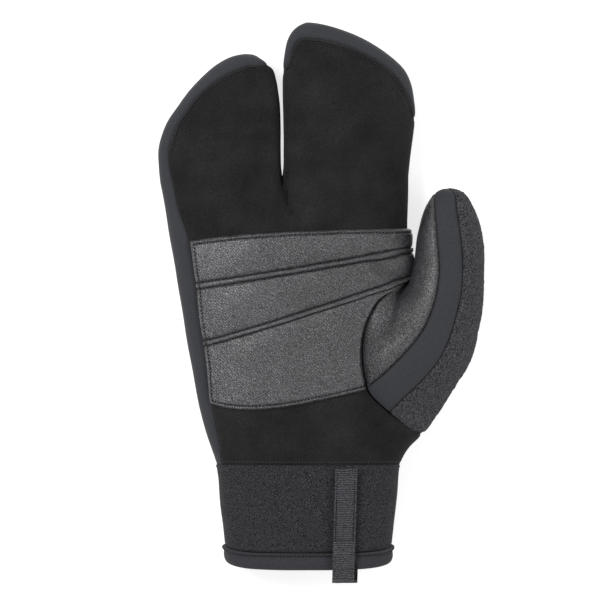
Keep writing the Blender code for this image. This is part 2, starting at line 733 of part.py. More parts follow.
def glove_walls():
    """The five panels of hand, fingers and thumb, as points and faces by name."""
    skin, wrist = hand_skin()
    skin.cut(Mark.HOLE, set(wrist))
    skin.faces = [face for face in skin.faces if not skin.is_inside(face, Mark.HOLE)]
    skin.cut(Mark.PALM, set(wrist))
    panels = thumb_panels(skin, hole_loop(skin))
    for face in skin.faces:
        panels["palm_panel" if skin.is_inside(face, Mark.PALM) else "back_panel"].append(face)
    points = np.array(skin.points)
    normals = point_normals(points, [face for faces in panels.values() for face in faces])
    wrist_row = {i for i in range(len(points)) if points[i][1] == 0.0}
    for i in wrist_row:
        normals[i][1] = 0.0
        normals[i] = unit(normals[i])
    return {
        name: wall_mesh(points, normals, faces, WALL, SEAM_GAP / 2, wrist_row)
        for name, faces in panels.items()
    }


def cuff_section(y):
    """Edges and height of the cuff's outside at a place below the cuff seam."""
    wrist = hand_section(0.0)
    down = min(-y / (CUFF_LENGTH + HEM_LENGTH), 1.0)
    left = wrist.left + CUFF_TAPER * down
    right = wrist.right - CUFF_TAPER * down
    return left, right, wrist.depth, wrist.rim


def cuff_height(x, y):
    """Height of the cuff's palm side over a place in plan."""
    left, right, depth, rim = cuff_section(y)
    edge = right if x > 0 else left
    rise = (1.0 - min(abs(x / edge), 1.0) ** (2 / UPPER_ROUND)) ** (UPPER_ROUND / 2)
    return rim + (depth - rim) * rise


def cuff_tube(start, end, count, proud, wall):
    """A length of tube below the cuff seam; proud is how far each of its rows stands out."""
    rows = []
    for y, out in zip(np.linspace(start, end, count), proud):
        left, right, depth, rim = cuff_section(y)
        points = ring(
            np.array([0.0, y, rim]),
            np.array([0.0, y, depth + out]),
            np.array([0.0, y, -PRESSED]),
            np.array([right + out, y, rim]),
            np.array([left - out, y, rim]),
            HALF_AROUND // 2,
            HALF_AROUND // 2,
        )
        points[:, 2] = np.maximum(points[:, 2], 0.0)
        rows.append(points)
    around = len(rows[0])
    points = np.concatenate(rows)
    faces = [
        [(k + 1) * around + i, (k + 1) * around + j, k * around + j, k * around + i]
        for k in range(count - 1)
        for i, j in zip(range(around), list(range(1, around)) + [0])
    ]
    normals = point_normals(points, faces)
    normals[:, 1] = 0.0
    normals = unit_rows(normals)
    return wall_mesh(points, normals, faces, wall, 0.0, set(range(len(points))))


def cuff():
    return cuff_tube(-GAP, -CUFF_LENGTH, CUFF_RINGS, [0.0] * CUFF_RINGS, CUFF_WALL)


def cuff_hem():
    proud = [HEM_PROUD * share for share in HEM_PROFILE]
    return cuff_tube(-CUFF_LENGTH - GAP, -CUFF_LENGTH - HEM_LENGTH, len(proud), proud, HEM_WALL)


def grid_faces(rows, columns, first=0, flip=False):
    faces = []
    for i in range(rows - 1):
        for j in range(columns - 1):
            corner = first + i * columns + j
            face = [corner, corner + 1, corner + columns + 1, corner + columns]
            faces.append(face[::-1] if flip else face)
    return faces


def rim_of_grid(rows, columns):
    low = list(range(columns))
    right = [i * columns + columns - 1 for i in range(1, rows)]
    high = [(rows - 1) * columns + j for j in range(columns - 2, -1, -1)]
    left = [i * columns for i in range(rows - 2, 0, -1)]
    return low + right + high + left


def slab(lower, upper, rows, columns):
    """A closed sheet between two grids of points."""
    count = rows * columns
    faces = grid_faces(rows, columns, 0, True) + grid_faces(rows, columns, count)
    border = rim_of_grid(rows, columns)
    for a, b in zip(border, border[1:] + border[:1]):
        faces.append([a, b, b + count, a + count])
    return np.concatenate([lower, upper]), faces


def patch_line(row):
    """Places in plan along one line across the patch, from its left to its right edge."""
    left_hand, right_hand = hand_section(row.left_along), hand_section(row.right_along)
    left_x = left_hand.left + left_hand.seam_left + PATCH_EDGE
    right_x = right_hand.right * np.interp(row.right_along, *np.transpose(PATCH_RIGHT))
    border = hole_border(1)
    if right_hand.along < border[0, 1]:
        order = border[::-1]
        right_x = min(right_x, np.interp(right_hand.along, order[:, 1], order[:, 0]) - MOUND_EDGE)
    across = np.linspace(0.0, 1.0, PATCH_COLUMNS)
    x = left_x + (right_x - left_x) * across
    y = left_hand.along + (right_hand.along - left_hand.along) * across
    return np.stack([x, y - row.sag * HAND_LENGTH * np.sin(pi * across**SAG_SKEW)], axis=1)


def palm_patch():
    """The leather patch with its two raised bands."""
    steps = []
    for number, (low, high) in enumerate(zip(PATCH_ROWS, PATCH_ROWS[1:])):
        raised = number in PATCH_BANDS
        plain = np.linspace(0.0, 1.0, PATCH_STEPS, endpoint=False)
        for t in (0.0, BAND_EDGE, 1.0 - BAND_EDGE) if raised else plain:
            row = PatchRow(*(a + (b - a) * t for a, b in zip(low, high)))
            steps.append((row, BAND_HEIGHT if raised and t else 0.0))
    steps.append((PATCH_ROWS[-1], 0.0))
    lower, upper = [], []
    step = SLOPE_STEP
    for row, height in steps:
        for x, y in patch_line(row):
            z = palm_height(x, y)
            slope_x = (palm_height(x + step, y) - palm_height(x - step, y)) / (2 * step)
            slope_y = (palm_height(x, y + step) - palm_height(x, y - step)) / (2 * step)
            up = unit(np.array([-slope_x, -slope_y, 1.0]))
            place = np.array([x, y, z])
            lower.append(place + up * PATCH_LIFT)
            upper.append(place + up * (PATCH_LIFT + PATCH_WALL + height))
    return slab(np.array(lower), np.array(upper), len(steps), PATCH_COLUMNS)


def pull_loop():
    """Webbing folded double: down over the cuff and hem, round the fold and back underneath."""
    hem_end = CUFF_LENGTH + HEM_LENGTH
    sewn = np.linspace(LOOP_START, CUFF_LENGTH - HEM_LENGTH, LOOP_SEWN_STEPS)
    downs = np.concatenate([sewn, np.linspace(CUFF_LENGTH, hem_end, LOOP_HEM_STEPS)])
    turn = np.linspace(-pi / 2, pi / 2, LOOP_FOLD_STEPS)
    columns = LOOP_OFFSET + LOOP_WIDTH * np.linspace(-0.5, 0.5, LOOP_COLUMNS)
    path = []
    for down in downs:
        over_hem = HEM_PROUD if down >= CUFF_LENGTH else 0.0
        path.append((down, LOOP_LIFT + over_hem, GAP))
    fold = hem_end + LOOP_DROP - WEBBING_WALL - LOOP_EYE / 2
    path.append(((hem_end + fold) / 2, LOOP_LIFT + HEM_PROUD, LOOP_EYE * LOOP_OPENING))
    path.append((fold, LOOP_LIFT + HEM_PROUD, LOOP_EYE))
    back = [(down, low, low + WEBBING_WALL) for down, low, _ in path]
    front = [(down, low + 2 * WEBBING_WALL + slit, low + WEBBING_WALL + slit) for down, low, slit in path]
    middle = LOOP_LIFT + HEM_PROUD + WEBBING_WALL + LOOP_EYE / 2
    small, large = LOOP_EYE / 2, LOOP_EYE / 2 + WEBBING_WALL
    outer = [(down, low) for down, low, _ in back]
    inner = [(down, high) for down, _, high in back]
    outer += [(fold + large * cos(a), middle + large * sin(a)) for a in turn[1:-1]]
    inner += [(fold + small * cos(a), middle + small * sin(a)) for a in turn[1:-1]]
    outer += [(down, high) for down, high, _ in front[::-1]]
    inner += [(down, low) for down, _, low in front[::-1]]
    grids = []
    for side in (outer, inner):
        grids.append(
            np.array([
                (x, -down, cuff_height(x, -min(down, hem_end)) + lift)
                for down, lift in side
                for x in columns
            ])
        )
    return slab(grids[1], grids[0], len(outer), len(columns))


def material(name, colour, roughness):
    made = bpy.data.materials.new(name)
    made.use_nodes = True
    shader = made.node_tree.nodes["Principled BSDF"]
    shader.inputs["Base Color"].default_value = (*colour, 1.0)
    shader.inputs["Roughness"].default_value = roughness
    shader.inputs["Metallic"].default_value = 0.0
    return made


def add_object(name, points, faces, finish):
    mesh = bpy.data.meshes.new(name)
    mesh.from_pydata(points.tolist(), [], faces)
    work = bmesh.new()
    work.from_mesh(mesh)
    bmesh.ops.recalc_face_normals(work, faces=work.faces)
    work.to_mesh(mesh)
    work.free()
    mesh.shade_smooth()
    mesh.set_sharp_from_angle(angle=radians(SHARP_DEGREES))
    mesh.materials.append(finish)
    made = bpy.data.objects.new(name, mesh)
    bpy.context.scene.collection.objects.link(made)


def main():
    for old in list(bpy.data.objects):
        bpy.data.objects.remove(old)
    parts = glove_walls()
    parts["palm_patch"] = palm_patch()
    parts["cuff"] = cuff()
    parts["cuff_hem"] = cuff_hem()
    parts["pull_loop"] = pull_loop()
    finishes = {name: material(name, colour, rough) for name, (colour, rough) in FINISHES.items()}
    everything = np.concatenate([points for points, _ in parts.values()])
    low, high = everything.min(axis=0), everything.max(axis=0)
    origin = np.array([(low[0] + high[0]) / 2, (low[1] + high[1]) / 2, low[2]])
    for name, (points, faces) in parts.items():
        add_object(name, points - origin, faces, finishes[PART_FINISH[name]])


main()
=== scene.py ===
"""A padded three-finger winter glove: cloth and leather shells, stitching, webbing and finishes.

The shells repeat the sections of the plain panels in fine steps, puffed up beside their seams, and
each piece takes the place of the plain one that the frame holds.
"""

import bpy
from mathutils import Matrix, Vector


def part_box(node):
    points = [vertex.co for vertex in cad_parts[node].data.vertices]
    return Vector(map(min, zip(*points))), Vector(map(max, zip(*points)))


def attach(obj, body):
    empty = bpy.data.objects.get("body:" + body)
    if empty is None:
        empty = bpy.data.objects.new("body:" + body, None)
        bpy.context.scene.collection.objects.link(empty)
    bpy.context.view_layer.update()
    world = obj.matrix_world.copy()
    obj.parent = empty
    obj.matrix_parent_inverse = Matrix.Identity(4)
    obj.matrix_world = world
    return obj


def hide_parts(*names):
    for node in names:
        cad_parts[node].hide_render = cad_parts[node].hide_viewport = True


bl_info = {
    "name": "Padded winter glove",
    "version": (1, 0, 0),
    "blender": (4, 5, 0),
    "location": "View3D > Sidebar > Glove",
    "description": "Builds a padded three-finger glove with its stitching and cloth finishes",
    "category": "Add Mesh",
}

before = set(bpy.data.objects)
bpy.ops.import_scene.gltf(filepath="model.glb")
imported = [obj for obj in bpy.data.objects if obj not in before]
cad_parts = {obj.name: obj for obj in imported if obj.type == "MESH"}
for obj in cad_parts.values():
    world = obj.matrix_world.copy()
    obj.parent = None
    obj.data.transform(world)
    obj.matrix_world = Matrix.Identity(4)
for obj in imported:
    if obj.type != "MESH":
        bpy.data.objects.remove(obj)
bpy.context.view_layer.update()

from collections import defaultdict, namedtuple
from enum import IntEnum
from math import cos, pi, radians, sin

import bmesh
import bpy
import numpy as np
from bpy.props import FloatProperty, FloatVectorProperty, PointerProperty
from mathutils import Vector, kdtree, noise
from mathutils.bvhtree import BVHTree

# along is a share of the hand's length from the cuff seam; left, middle, right of its width;
# depth, crease of its depth; rim, where it is widest, of the depth there; seam of the seam inset
HandRow = namedtuple("HandRow", "along left middle right depth rim crease seam_left seam_right")
HAND_ROWS = (
    HandRow(0.00, -0.370, 0.000, 0.372, 0.95, 0.50, 0.00, 0.44, -0.6),
    HandRow(0.06, -0.389, 0.000, 0.409, 0.97, 0.50, 0.00, 0.75, -0.6),
    HandRow(0.11, -0.409, 0.000, 0.466, 0.99, 0.50, 0.00, 0.95, -0.6),
    HandRow(0.20, -0.439, -0.006, 0.476, 1.00, 0.50, 0.00, 1.15, -0.6),
    HandRow(0.35, -0.470, -0.024, 0.453, 1.00, 0.50, 0.00, 1.45, -0.6),
    HandRow(0.50, -0.502, -0.042, 0.429, 0.99, 0.50, 0.00, 1.60, -0.6),
    HandRow(0.65, -0.530, -0.060, 0.419, 0.97, 0.50, 0.00, 1.80, -0.6),
    HandRow(0.80, -0.559, -0.078, 0.401, 0.94, 0.50, 0.00, 1.80, -0.6),
    HandRow(0.90, -0.579, -0.091, 0.401, 0.92, 0.50, 0.03, 1.30, -0.6),
    HandRow(1.00, -0.597, -0.104, 0.404, 0.89, 0.50, 0.14, 1.10, -0.6),
)

# Edges of a finger pocket: along is a share of the pocket's length past the crotch, and across of
# its width there; middle lies between inner (0) and outer (1); low and high are shares of its depth
FingerRow = namedtuple(
    "FingerRow",
    "outer_along outer inner_along inner middle low high seam_outer seam_inner",
)
LITTLE_ROWS = (
    FingerRow(0.121, 1.012, 0.105, 0.000, 0.06, -0.05, 1.07, 0.95, -0.6),
    FingerRow(0.261, 1.017, 0.261, 0.002, 0.08, -0.05, 1.04, 1.00, -0.6),
    FingerRow(0.373, 0.989, 0.385, 0.000, 0.10, -0.05, 1.02, 1.10, -0.6),
    FingerRow(0.479, 0.938, 0.494, 0.003, 0.13, -0.04, 1.00, 1.00, -0.6),
    FingerRow(0.584, 0.860, 0.595, 0.008, 0.17, -0.02, 0.98, 0.95, -0.6),
    FingerRow(0.712, 0.763, 0.697, 0.019, 0.23, 0.02, 0.95, 1.00, -0.6),
    FingerRow(0.829, 0.640, 0.798, 0.035, 0.31, 0.08, 0.91, 1.15, -0.6),
    FingerRow(0.920, 0.520, 0.887, 0.068, 0.40, 0.17, 0.84, 1.35, -0.3),
    FingerRow(0.974, 0.421, 0.957, 0.154, 0.50, 0.29, 0.74, 1.45, 0.8),
)
LITTLE_TIP = FingerRow(1.0, 0.286, 1.0, 0.286, 0.5, 0.52, 0.52, 1.40, 1.40)
INDEX_ROWS = (
    FingerRow(0.097, 1.010, 0.084, 0.000, 0.06, -0.05, 1.07, -0.6, -0.6),
    FingerRow(0.209, 1.025, 0.209, 0.000, 0.07, -0.05, 1.04, -0.6, -0.6),
    FingerRow(0.315, 1.043, 0.328, -0.003, 0.08, -0.05, 1.02, -0.3, -0.6),
    FingerRow(0.421, 1.057, 0.446, -0.005, 0.10, -0.04, 1.00, 0.1, -0.6),
    FingerRow(0.527, 1.043, 0.552, -0.009, 0.12, -0.03, 0.99, 0.35, -0.6),
    FingerRow(0.621, 1.018, 0.646, -0.010, 0.15, -0.01, 0.97, 0.8, -0.3),
    FingerRow(0.712, 0.958, 0.746, -0.002, 0.20, 0.02, 0.95, 1.0, 0.35),
    FingerRow(0.793, 0.850, 0.827, 0.014, 0.27, 0.07, 0.92, 1.1, 0.5),
    FingerRow(0.868, 0.707, 0.896, 0.037, 0.36, 0.13, 0.87, 1.25, 0.8),
    FingerRow(0.930, 0.555, 0.949, 0.077, 0.45, 0.21, 0.80, 1.4, 1.2),
    FingerRow(0.975, 0.404, 0.986, 0.137, 0.50, 0.32, 0.71, 1.6, 1.6),
)
INDEX_TIP = FingerRow(1.0, 0.245, 1.0, 0.245, 0.5, 0.52, 0.52, 1.7, 1.7)

# Border of the hole that the thumb is sewn into: along is a share of the hand's length; the others
# are shares of the hand's right edge there
HoleRow = namedtuple("HoleRow", "along palm_side back_side")
HOLE_ROWS = (
    HoleRow(0.650, 1.000, 1.000),
    HoleRow(0.620, 0.836, 0.950),
    HoleRow(0.581, 0.677, 0.885),
    HoleRow(0.517, 0.572, 0.806),
    HoleRow(0.464, 0.515, 0.760),
    HoleRow(0.407, 0.486, 0.732),
    HoleRow(0.350, 0.481, 0.728),
    HoleRow(0.304, 0.493, 0.740),
    HoleRow(0.262, 0.510, 0.760),
    HoleRow(0.230, 0.564, 0.784),
    HoleRow(0.182, 0.689, 0.840),
    HoleRow(0.145, 0.795, 0.907),
    HoleRow(0.120, 0.891, 0.966),
    HoleRow(0.106, 1.000, 1.000),
)
LEATHER_FOOT = 0.272
FLEECE_FOOT = 0.182

# Sections of the thumb: places from its crotch, along as a share of its reach and across of its
# width; heights, palm and back bulges of its depth; leans in degrees towards the palm; inner_round
# is how round the inner half is; leather and fleece are their seams' shares of the way over the palm
ThumbRow = namedtuple(
    "ThumbRow",
    "inner_across inner_along inner_rise outer_across outer_along outer_rise "
    "palm palm_lean back back_lean inner_round leather fleece",
)
THUMB_ROWS = (
    ThumbRow(0.024, 0.012, 0.68, 0.425, -1.414, 0.70, 1.14, 44, 0.66, 38, 1.50, 0.568, 0.732),
    ThumbRow(0.046, 0.050, 0.70, 0.679, -1.135, 0.74, 1.03, 38, 0.57, 27, 1.40, 0.538, 0.722),
    ThumbRow(0.062, 0.112, 0.72, 0.933, -0.779, 0.79, 0.86, 33, 0.51, 12, 1.25, 0.510, 0.704),
    ThumbRow(0.072, 0.221, 0.75, 1.045, -0.371, 0.83, 0.70, 28, 0.49, 4, 1.10, 0.488, 0.690),
    ThumbRow(0.080, 0.349, 0.79, 1.080, 0.027, 0.86, 0.60, 20, 0.48, 0, 1.00, 0.445, 0.672),
    ThumbRow(0.104, 0.522, 0.83, 1.075, 0.349, 0.88, 0.54, 13, 0.46, 0, 0.92, 0.385, 0.632),
    ThumbRow(0.164, 0.688, 0.87, 1.015, 0.591, 0.90, 0.47, 8, 0.42, 0, 0.92, 0.322, 0.600),
    ThumbRow(0.239, 0.817, 0.90, 0.903, 0.795, 0.91, 0.37, 5, 0.34, 0, 0.92, 0.255, 0.592),
    ThumbRow(0.324, 0.914, 0.91, 0.784, 0.927, 0.92, 0.24, 0, 0.22, 0, 0.92, 0.120, 0.635),
)
THUMB_TIP = (0.515, 0.991, 0.92)

# Lines across the palm patch, bottom edge first: ends are shares of the hand's length, and sag is
# how far the line hangs below a straight one, as a share of it too
PatchRow = namedtuple("PatchRow", "left_along right_along sag")
PATCH_ROWS = (
    PatchRow(0.219, 0.264, 0.040),
    PatchRow(0.418, 0.641, 0.008),
    PatchRow(0.437, 0.667, 0.008),
    PatchRow(0.618, 0.743, 0.003),
    PatchRow(0.640, 0.762, 0.003),
    PatchRow(0.788, 0.834, -0.012),
)
PATCH_BANDS = (1, 3)
SAG_SKEW = 0.7

# Folds and hollows of the palm: a line in plan with its ends as shares of the hand's width and
# length, its half width as a share of the width, and its depth as a share of the depth
FoldRow = namedtuple("FoldRow", "from_across from_along to_across to_along half_width depth")
FOLD_ROWS = (
    FoldRow(-0.103, 1.010, -0.090, 0.955, 0.008, 0.085),
    FoldRow(-0.090, 0.955, -0.086, 0.925, 0.009, 0.085),
    FoldRow(-0.086, 0.925, -0.066, 0.885, 0.010, 0.070),
    FoldRow(-0.066, 0.885, -0.040, 0.850, 0.013, 0.035),
    FoldRow(0.045, 0.900, 0.125, 0.835, 0.040, 0.018),
    FoldRow(0.270, 0.760, 0.370, 0.785, 0.045, 0.034),
    FoldRow(0.290, 0.703, 0.375, 0.668, 0.048, 0.058),
    FoldRow(-0.080, 0.350, 0.060, 0.560, 0.270, 0.035),
    FoldRow(-0.330, 0.100, 0.250, 0.060, 0.060, 0.012),
)

# How round the sections are: 1 is an ellipse, less is boxier
UPPER_ROUND = 0.86
LOWER_ROUND = 0.72
GAP_SIDE_ROUND = 0.40
THUMB_SIDE_ROUND = 0.74
THUMB_ROUND = 0.92
LOWER_CREASE = 0.60

# Mesh steps
HALF_AROUND = 120
WEB_STEPS = 34
HAND_RINGS = 120
LITTLE_RINGS = 60
INDEX_RINGS = 74
THUMB_RINGS = 112
FLEECE_RINGS = 190
THUMB_STEPS = {"thumb_palm": (0.0, 1.0, 62), "thumb_gusset": (0.0, 2.0, 96), "thumb_back": (2.0, 4.0, 170)}
CUFF_RINGS = 56
ARC_SAMPLES = 320
OUTLINE_SAMPLES = 480
BORDER_SAMPLES = 160
OUTLINE_SECTIONS = 49
FINGER_SPACING = 0.90
THUMB_SPACING = 0.95
SNAP = 0.30
MITRE_LIMIT = 0.45
CHUNK = 2048

# One of this many rings of the plain hand gives the pockets their first slope
COARSE_RINGS = 17

# Finer points of the meshes
BORDER_STEPS = 6
TRAVEL_SAMPLES = 80
CENTRE_SAMPLES = 40
NORMAL_ROUNDS = 3
SHARP_DEGREES = 55
SAME_PLACE = 1e-7

Mark = IntEnum("Mark", "PALM HOLE", start=0)

GAP = 0.0003
PRESSED = 0.0016
CREASE_WIDTH = 0.0028
SEAM_INSET = 0.0047
SEAM_DROP = 0.0030

WRIST = HAND_ROWS[0]
CUFF_LOW, CUFF_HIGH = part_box("cuff")
HEM_LOW, HEM_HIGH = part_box("cuff_hem")
BACK_LOW, BACK_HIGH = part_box("back_panel")
LOOP_LOW, LOOP_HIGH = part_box("pull_loop")
GLOVE_LENGTH = BACK_HIGH.y - BACK_LOW.y
HAND_SHARE = 0.6382
LITTLE_SHARE = 0.2902
HAND_LENGTH = GLOVE_LENGTH * HAND_SHARE
LITTLE_LENGTH = GLOVE_LENGTH * LITTLE_SHARE
INDEX_LENGTH = GLOVE_LENGTH * (1 - HAND_SHARE)
WRIST_WIDTH = (CUFF_HIGH.x - CUFF_LOW.x) / (WRIST.right - WRIST.left)
ORIGIN = np.array([CUFF_LOW.x - WRIST.left * WRIST_WIDTH, CUFF_HIGH.y + GAP, 0.0])

# Soft waves of the cloth and curls of the fleece: heights and lengths
WAVE_HEIGHT = 0.0007
WAVE_LENGTH = 0.017
BACK_WAVES = 0.0006
BACK_WAVE_LENGTH = 0.022
THUMB_WAVES = 0.0005
THUMB_WAVE_LENGTH = 0.014
CUFF_WAVES = 0.0005
CUFF_WAVE_LENGTH = 0.016
FLEECE_HEIGHT = 0.00034
FLEECE_CURL = 0.00105

# Seams: a valley, and a puffed shoulder beside it; the mesh is finer within the last of these
SEAM_DEPTH = 0.0009
SEAM_REACH = 0.0008
SEAM_SHARPNESS = 1.6
SEAM_PUFF = 0.00045
PUFF_PLACE = 0.0042
HALF_SEAM_GAP = 0.00012
FINE_REACH = 0.0050

# The roll beside a sewn row, and the dip under its stitches
TOPSTITCH = 0.0022
ROLL_HEIGHT = 0.00060
ROLL_HALF = 0.0006
STITCH_DIP = 0.00060
STITCH_HALF = 0.00045

# Where the sewn row of the fingers starts and the palm's relief ends, as shares of its length
SEWN_LOW = 1.05
SEWN_HIGH = 1.15
ROW_LOW = 1.12
RELIEF_LOW = 1.02
FINGER_RELIEF = 1.35

# How far the skin faces up where relief and stitches start and end, and how high it rests
FLAT_FACING = 0.05
FULL_FACING = 0.75
FINGER_FACING = 0.45
WRIST_FACING = 0.35
RESTING_HEIGHT = 0.006

# The seam at the wrist
WRIST_SEAM = 0.10
WRIST_REACH = 0.7
EASE_LOW = 0.002
EASE_HIGH = 0.010
WRIST_LINE = 0.0015
WRIST_STRIP = 0.003

# The cuff, drawn up at its low sides, and the stitches round it
CUFF_BOW = 0.0035
LOW_SIDE = 0.012
HIGH_SIDE = 0.037
CUFF_PUFF = 0.0004
CUFF_PUFF_REACH = 0.006
CUFF_TOP_DIP = 0.0003
CUFF_TOP_HALF = 0.0007
CUFF_END_DIP = 0.0007
CUFF_END_HALF = 0.0006
CUFF_STITCH = 0.0017
OUTSIDE = 0.003
SEWN_FROM = 0.002

# The hem
HEM_RINGS = 49
HEM_HANG = 0.0011
HEM_STITCH = 0.25

# The palm patch
PATCH_COLUMNS = 170
PATCH_STEPS = (74, 8, 46, 8, 44)
PATCH_EDGE = 0.0010
PATCH_LIFT = 0.0003
PATCH_UNDERLAP = 0.0004
PATCH_TURN = 0.9
RIGHT_REACH = 0.998
MOUND_LAP = 0.0002
MOUND_HALF = 0.0007
SLOPE_STEP = 0.0004
STEEPEST = 3.0
EDGE_RIM = 0.0019
EDGE_ROUND = 0.0005
BAND_HEIGHT = 0.00075
BAND_SHOULDER = 0.28
PILLOW = 0.0008
PILLOW_ROUND = 0.6
END_CROWD = 0.60
STITCH_FROM = 3

# The pull loop and its ribs
WEBBING = 0.0011
LOOP_EYE = 0.0020
LOOP_DROP = 0.0056
LOOP_START = 0.0018
LOOP_LIFT = 0.0009
LOOP_PROUD = 0.0008
LOOP_RISE = 0.004
LOOP_SLIT = 0.0004
LOOP_SLANT = 0.0016
LOOP_DROOP = 0.0020
LOOP_HANG = 0.0010
LOOP_SKEW = 0.0016
LOOP_COLUMNS = 20
LOOP_SAMPLES = 200
FOLD_SAMPLES = 25
LOOP_ROW = 2
SEWN_START = 0.001
SEWN_STOP = 0.006
RIB_WANDER = 0.9
RIB_WAVE = 0.0024
RIB_PITCH = 0.00105
RIB_HEIGHT = 0.00034
RIB_STEPS = 7

# Stitches
THREAD_LIFT = 0.00012
SEAM_LINE = 0.0001
HEAVY = 1.5
SHORTEST_LINE = 4
LINE_ROUNDS = 6

# The leather's grain; a wave texture runs at this rate
GRAIN_PITCH = 0.00098
WAVE_TEXTURE_RATE = 20.0

# The camera, the floor and the sky
CAMERA_DISTANCE = 2.00
FRAME_WIDTH = 0.282
FRAME_HEIGHT = 0.026
FRAME_CENTRE = (-0.0100, 0.0005)
SENSOR = 36.0
FLOOR_HALF = 3.0
FLOOR_GLOW = 0.72
SKY_GLOW = 0.55


def length(name, description, default):
    return FloatProperty(name=name, description=description, default=default, unit="LENGTH", precision=5)


def colour(name, description, default):
    return FloatVectorProperty(
        name=name, description=description, default=default, size=3, subtype="COLOR", min=0, max=1
    )


class GloveSizes(bpy.types.PropertyGroup):
    hand_length: length("Hand length", "From the cuff seam to the crotch of the fingers", HAND_LENGTH)
    hand_width: length("Hand width", "Width that the hand's sections are shares of", WRIST_WIDTH)
    hand_depth: length("Hand depth", "Depth of the filled hand", CUFF_HIGH.z / WRIST.depth)
    little_length: length("Little pocket", "Length of the ring and little finger's pocket", LITTLE_LENGTH)
    index_length: length("Index pocket", "Length of the index and middle finger's pocket", INDEX_LENGTH)
    finger_depth: length("Finger depth", "Depth of the finger pockets", 0.0310)
    finger_gap: length("Finger gap", "Gap between the finger pockets", 0.0024)
    thumb_reach: length("Thumb reach", "Length of the free part of the thumb", 0.0437)
    thumb_width: length("Thumb width", "Width of the thumb", 0.0315)
    thumb_depth: length("Thumb depth", "Depth of the thumb", 0.0290)
    wall: length("Wall", "Thickness of the padded panels", 0.0024)
    cuff_length: length("Cuff length", "Length of the cuff", CUFF_HIGH.y - CUFF_LOW.y + GAP)
    cuff_taper: length("Cuff taper", "How far each side of the cuff draws in", 0.0044)
    cuff_wall: length("Cuff wall", "Thickness of the cuff", 0.0025)
    hem_length: length("Hem length", "Height of the hem band", HEM_HIGH.y - HEM_LOW.y + GAP)
    patch_wall: length("Patch", "Thickness of the leather patch over the palm", 0.0020)
    loop_width: length("Loop width", "Width of the pull loop's webbing", LOOP_HIGH.x - LOOP_LOW.x)


class GloveStitches(bpy.types.PropertyGroup):
    pitch: length("Pitch", "From one stitch to the next", 0.00165)
    length: length("Stitch", "Length of a stitch", 0.00115)
    radius: length("Thread", "Radius of the thread", 0.00028)


class GloveColours(bpy.types.PropertyGroup):
    suede: colour("Suede", "Palm and finger fronts", (0.0128, 0.0128, 0.0133))
    softshell: colour("Softshell", "Back, finger rims and thumb strip", (0.033, 0.034, 0.039))
    leather: colour("Leather", "Palm patch and ball of the thumb", (0.0385, 0.0385, 0.0420))
    fleece: colour("Fleece", "Outer side of the thumb", (0.048, 0.048, 0.054))
    neoprene: colour("Neoprene", "Cuff", (0.0255, 0.0255, 0.0280))
    hem: colour("Hem", "Hem band", (0.036, 0.036, 0.042))
    webbing: colour("Webbing", "Pull loop", (0.042, 0.042, 0.048))
    thread: colour("Thread", "Most of the stitching", (0.006, 0.006, 0.007))
    pale_thread: colour("Pale thread", "Stitching of the fingers and the wrist", (0.030, 0.030, 0.034))
    floor: colour("Floor", "Floor under the glove", (0.50, 0.50, 0.50))


def sizes():
    return bpy.context.scene.glove_sizes


def unit(vector):
    return vector / np.linalg.norm(vector)


def unit_rows(vectors):
    lengths = np.linalg.norm(vectors, axis=-1, keepdims=True)
    return vectors / np.where(lengths == 0.0, 1.0, lengths)


def ramp(value, low, high):
    t = np.clip((value - low) / (high - low), 0.0, 1.0)
    return t * t * (3 - 2 * t)


def lengths_along(path):
    steps = np.linalg.norm(np.diff(path, axis=0), axis=1)
    return np.concatenate([[0.0], np.cumsum(steps)])


def path_point(path, shares):
    """Points at the given shares of a path's length."""
    travelled = lengths_along(path)
    places = np.asarray(shares) * travelled[-1]
    return np.stack([np.interp(places, travelled, path[:, axis]) for axis in range(3)], axis=1)


def sides(loop):
    """Each neighbouring pair of a closed row."""
    return zip(loop, loop[1:] + loop[:1])


def spline(knots, values, at):
    """A smooth curve through rows of values."""
    knots, values, at = np.asarray(knots), np.asarray(values), np.asarray(at, dtype=float)
    column = (-1,) + (1,) * (values.ndim - 1)
    steps = np.diff(knots).reshape(column)
    rises = np.diff(values, axis=0) / steps
    middle = (rises[:-1] * steps[1:] + rises[1:] * steps[:-1]) / (steps[:-1] + steps[1:])
    slopes = np.concatenate([rises[:1], middle, rises[-1:]])
    row = np.clip(np.searchsorted(knots, at, side="right") - 1, 0, len(knots) - 2)
    span = (knots[row + 1] - knots[row]).reshape(column)
    t = ((at - knots[row]) / (knots[row + 1] - knots[row])).reshape(column)
    return (
        (1 + 2 * t) * (1 - t) ** 2 * values[row]
        + t * (1 - t) ** 2 * span * slopes[row]
        + t**2 * (3 - 2 * t) * values[row + 1]
        + t**2 * (t - 1) * span * slopes[row + 1]
    )


def arc(centre, crest, edge, roundness, count):
    """A quarter of a section from its crest to its edge, in even steps."""
    turn = np.linspace(0.0, pi / 2, ARC_SAMPLES + 1)[:, None]
    to_crest = np.abs(np.cos(turn)) ** roundness
    to_edge = np.abs(np.sin(turn)) ** roundness
    path = centre + (crest - centre) * to_crest + (edge - centre) * to_edge
    return path_point(path, np.linspace(0.0, 1.0, count + 1))


def ring(centre, top, low, first, second, first_steps, second_steps, rounds=(UPPER_ROUND, UPPER_ROUND)):
    """A closed section: top, first edge, underside, second edge."""
    quarters = (
        arc(centre, top, first, rounds[0], first_steps),
        arc(centre, low, first, LOWER_ROUND, first_steps)[::-1],
        arc(centre, low, second, LOWER_ROUND, second_steps),
        arc(centre, top, second, rounds[1], second_steps)[::-1],
    )
    return np.concatenate([quarter[:-1] for quarter in quarters])


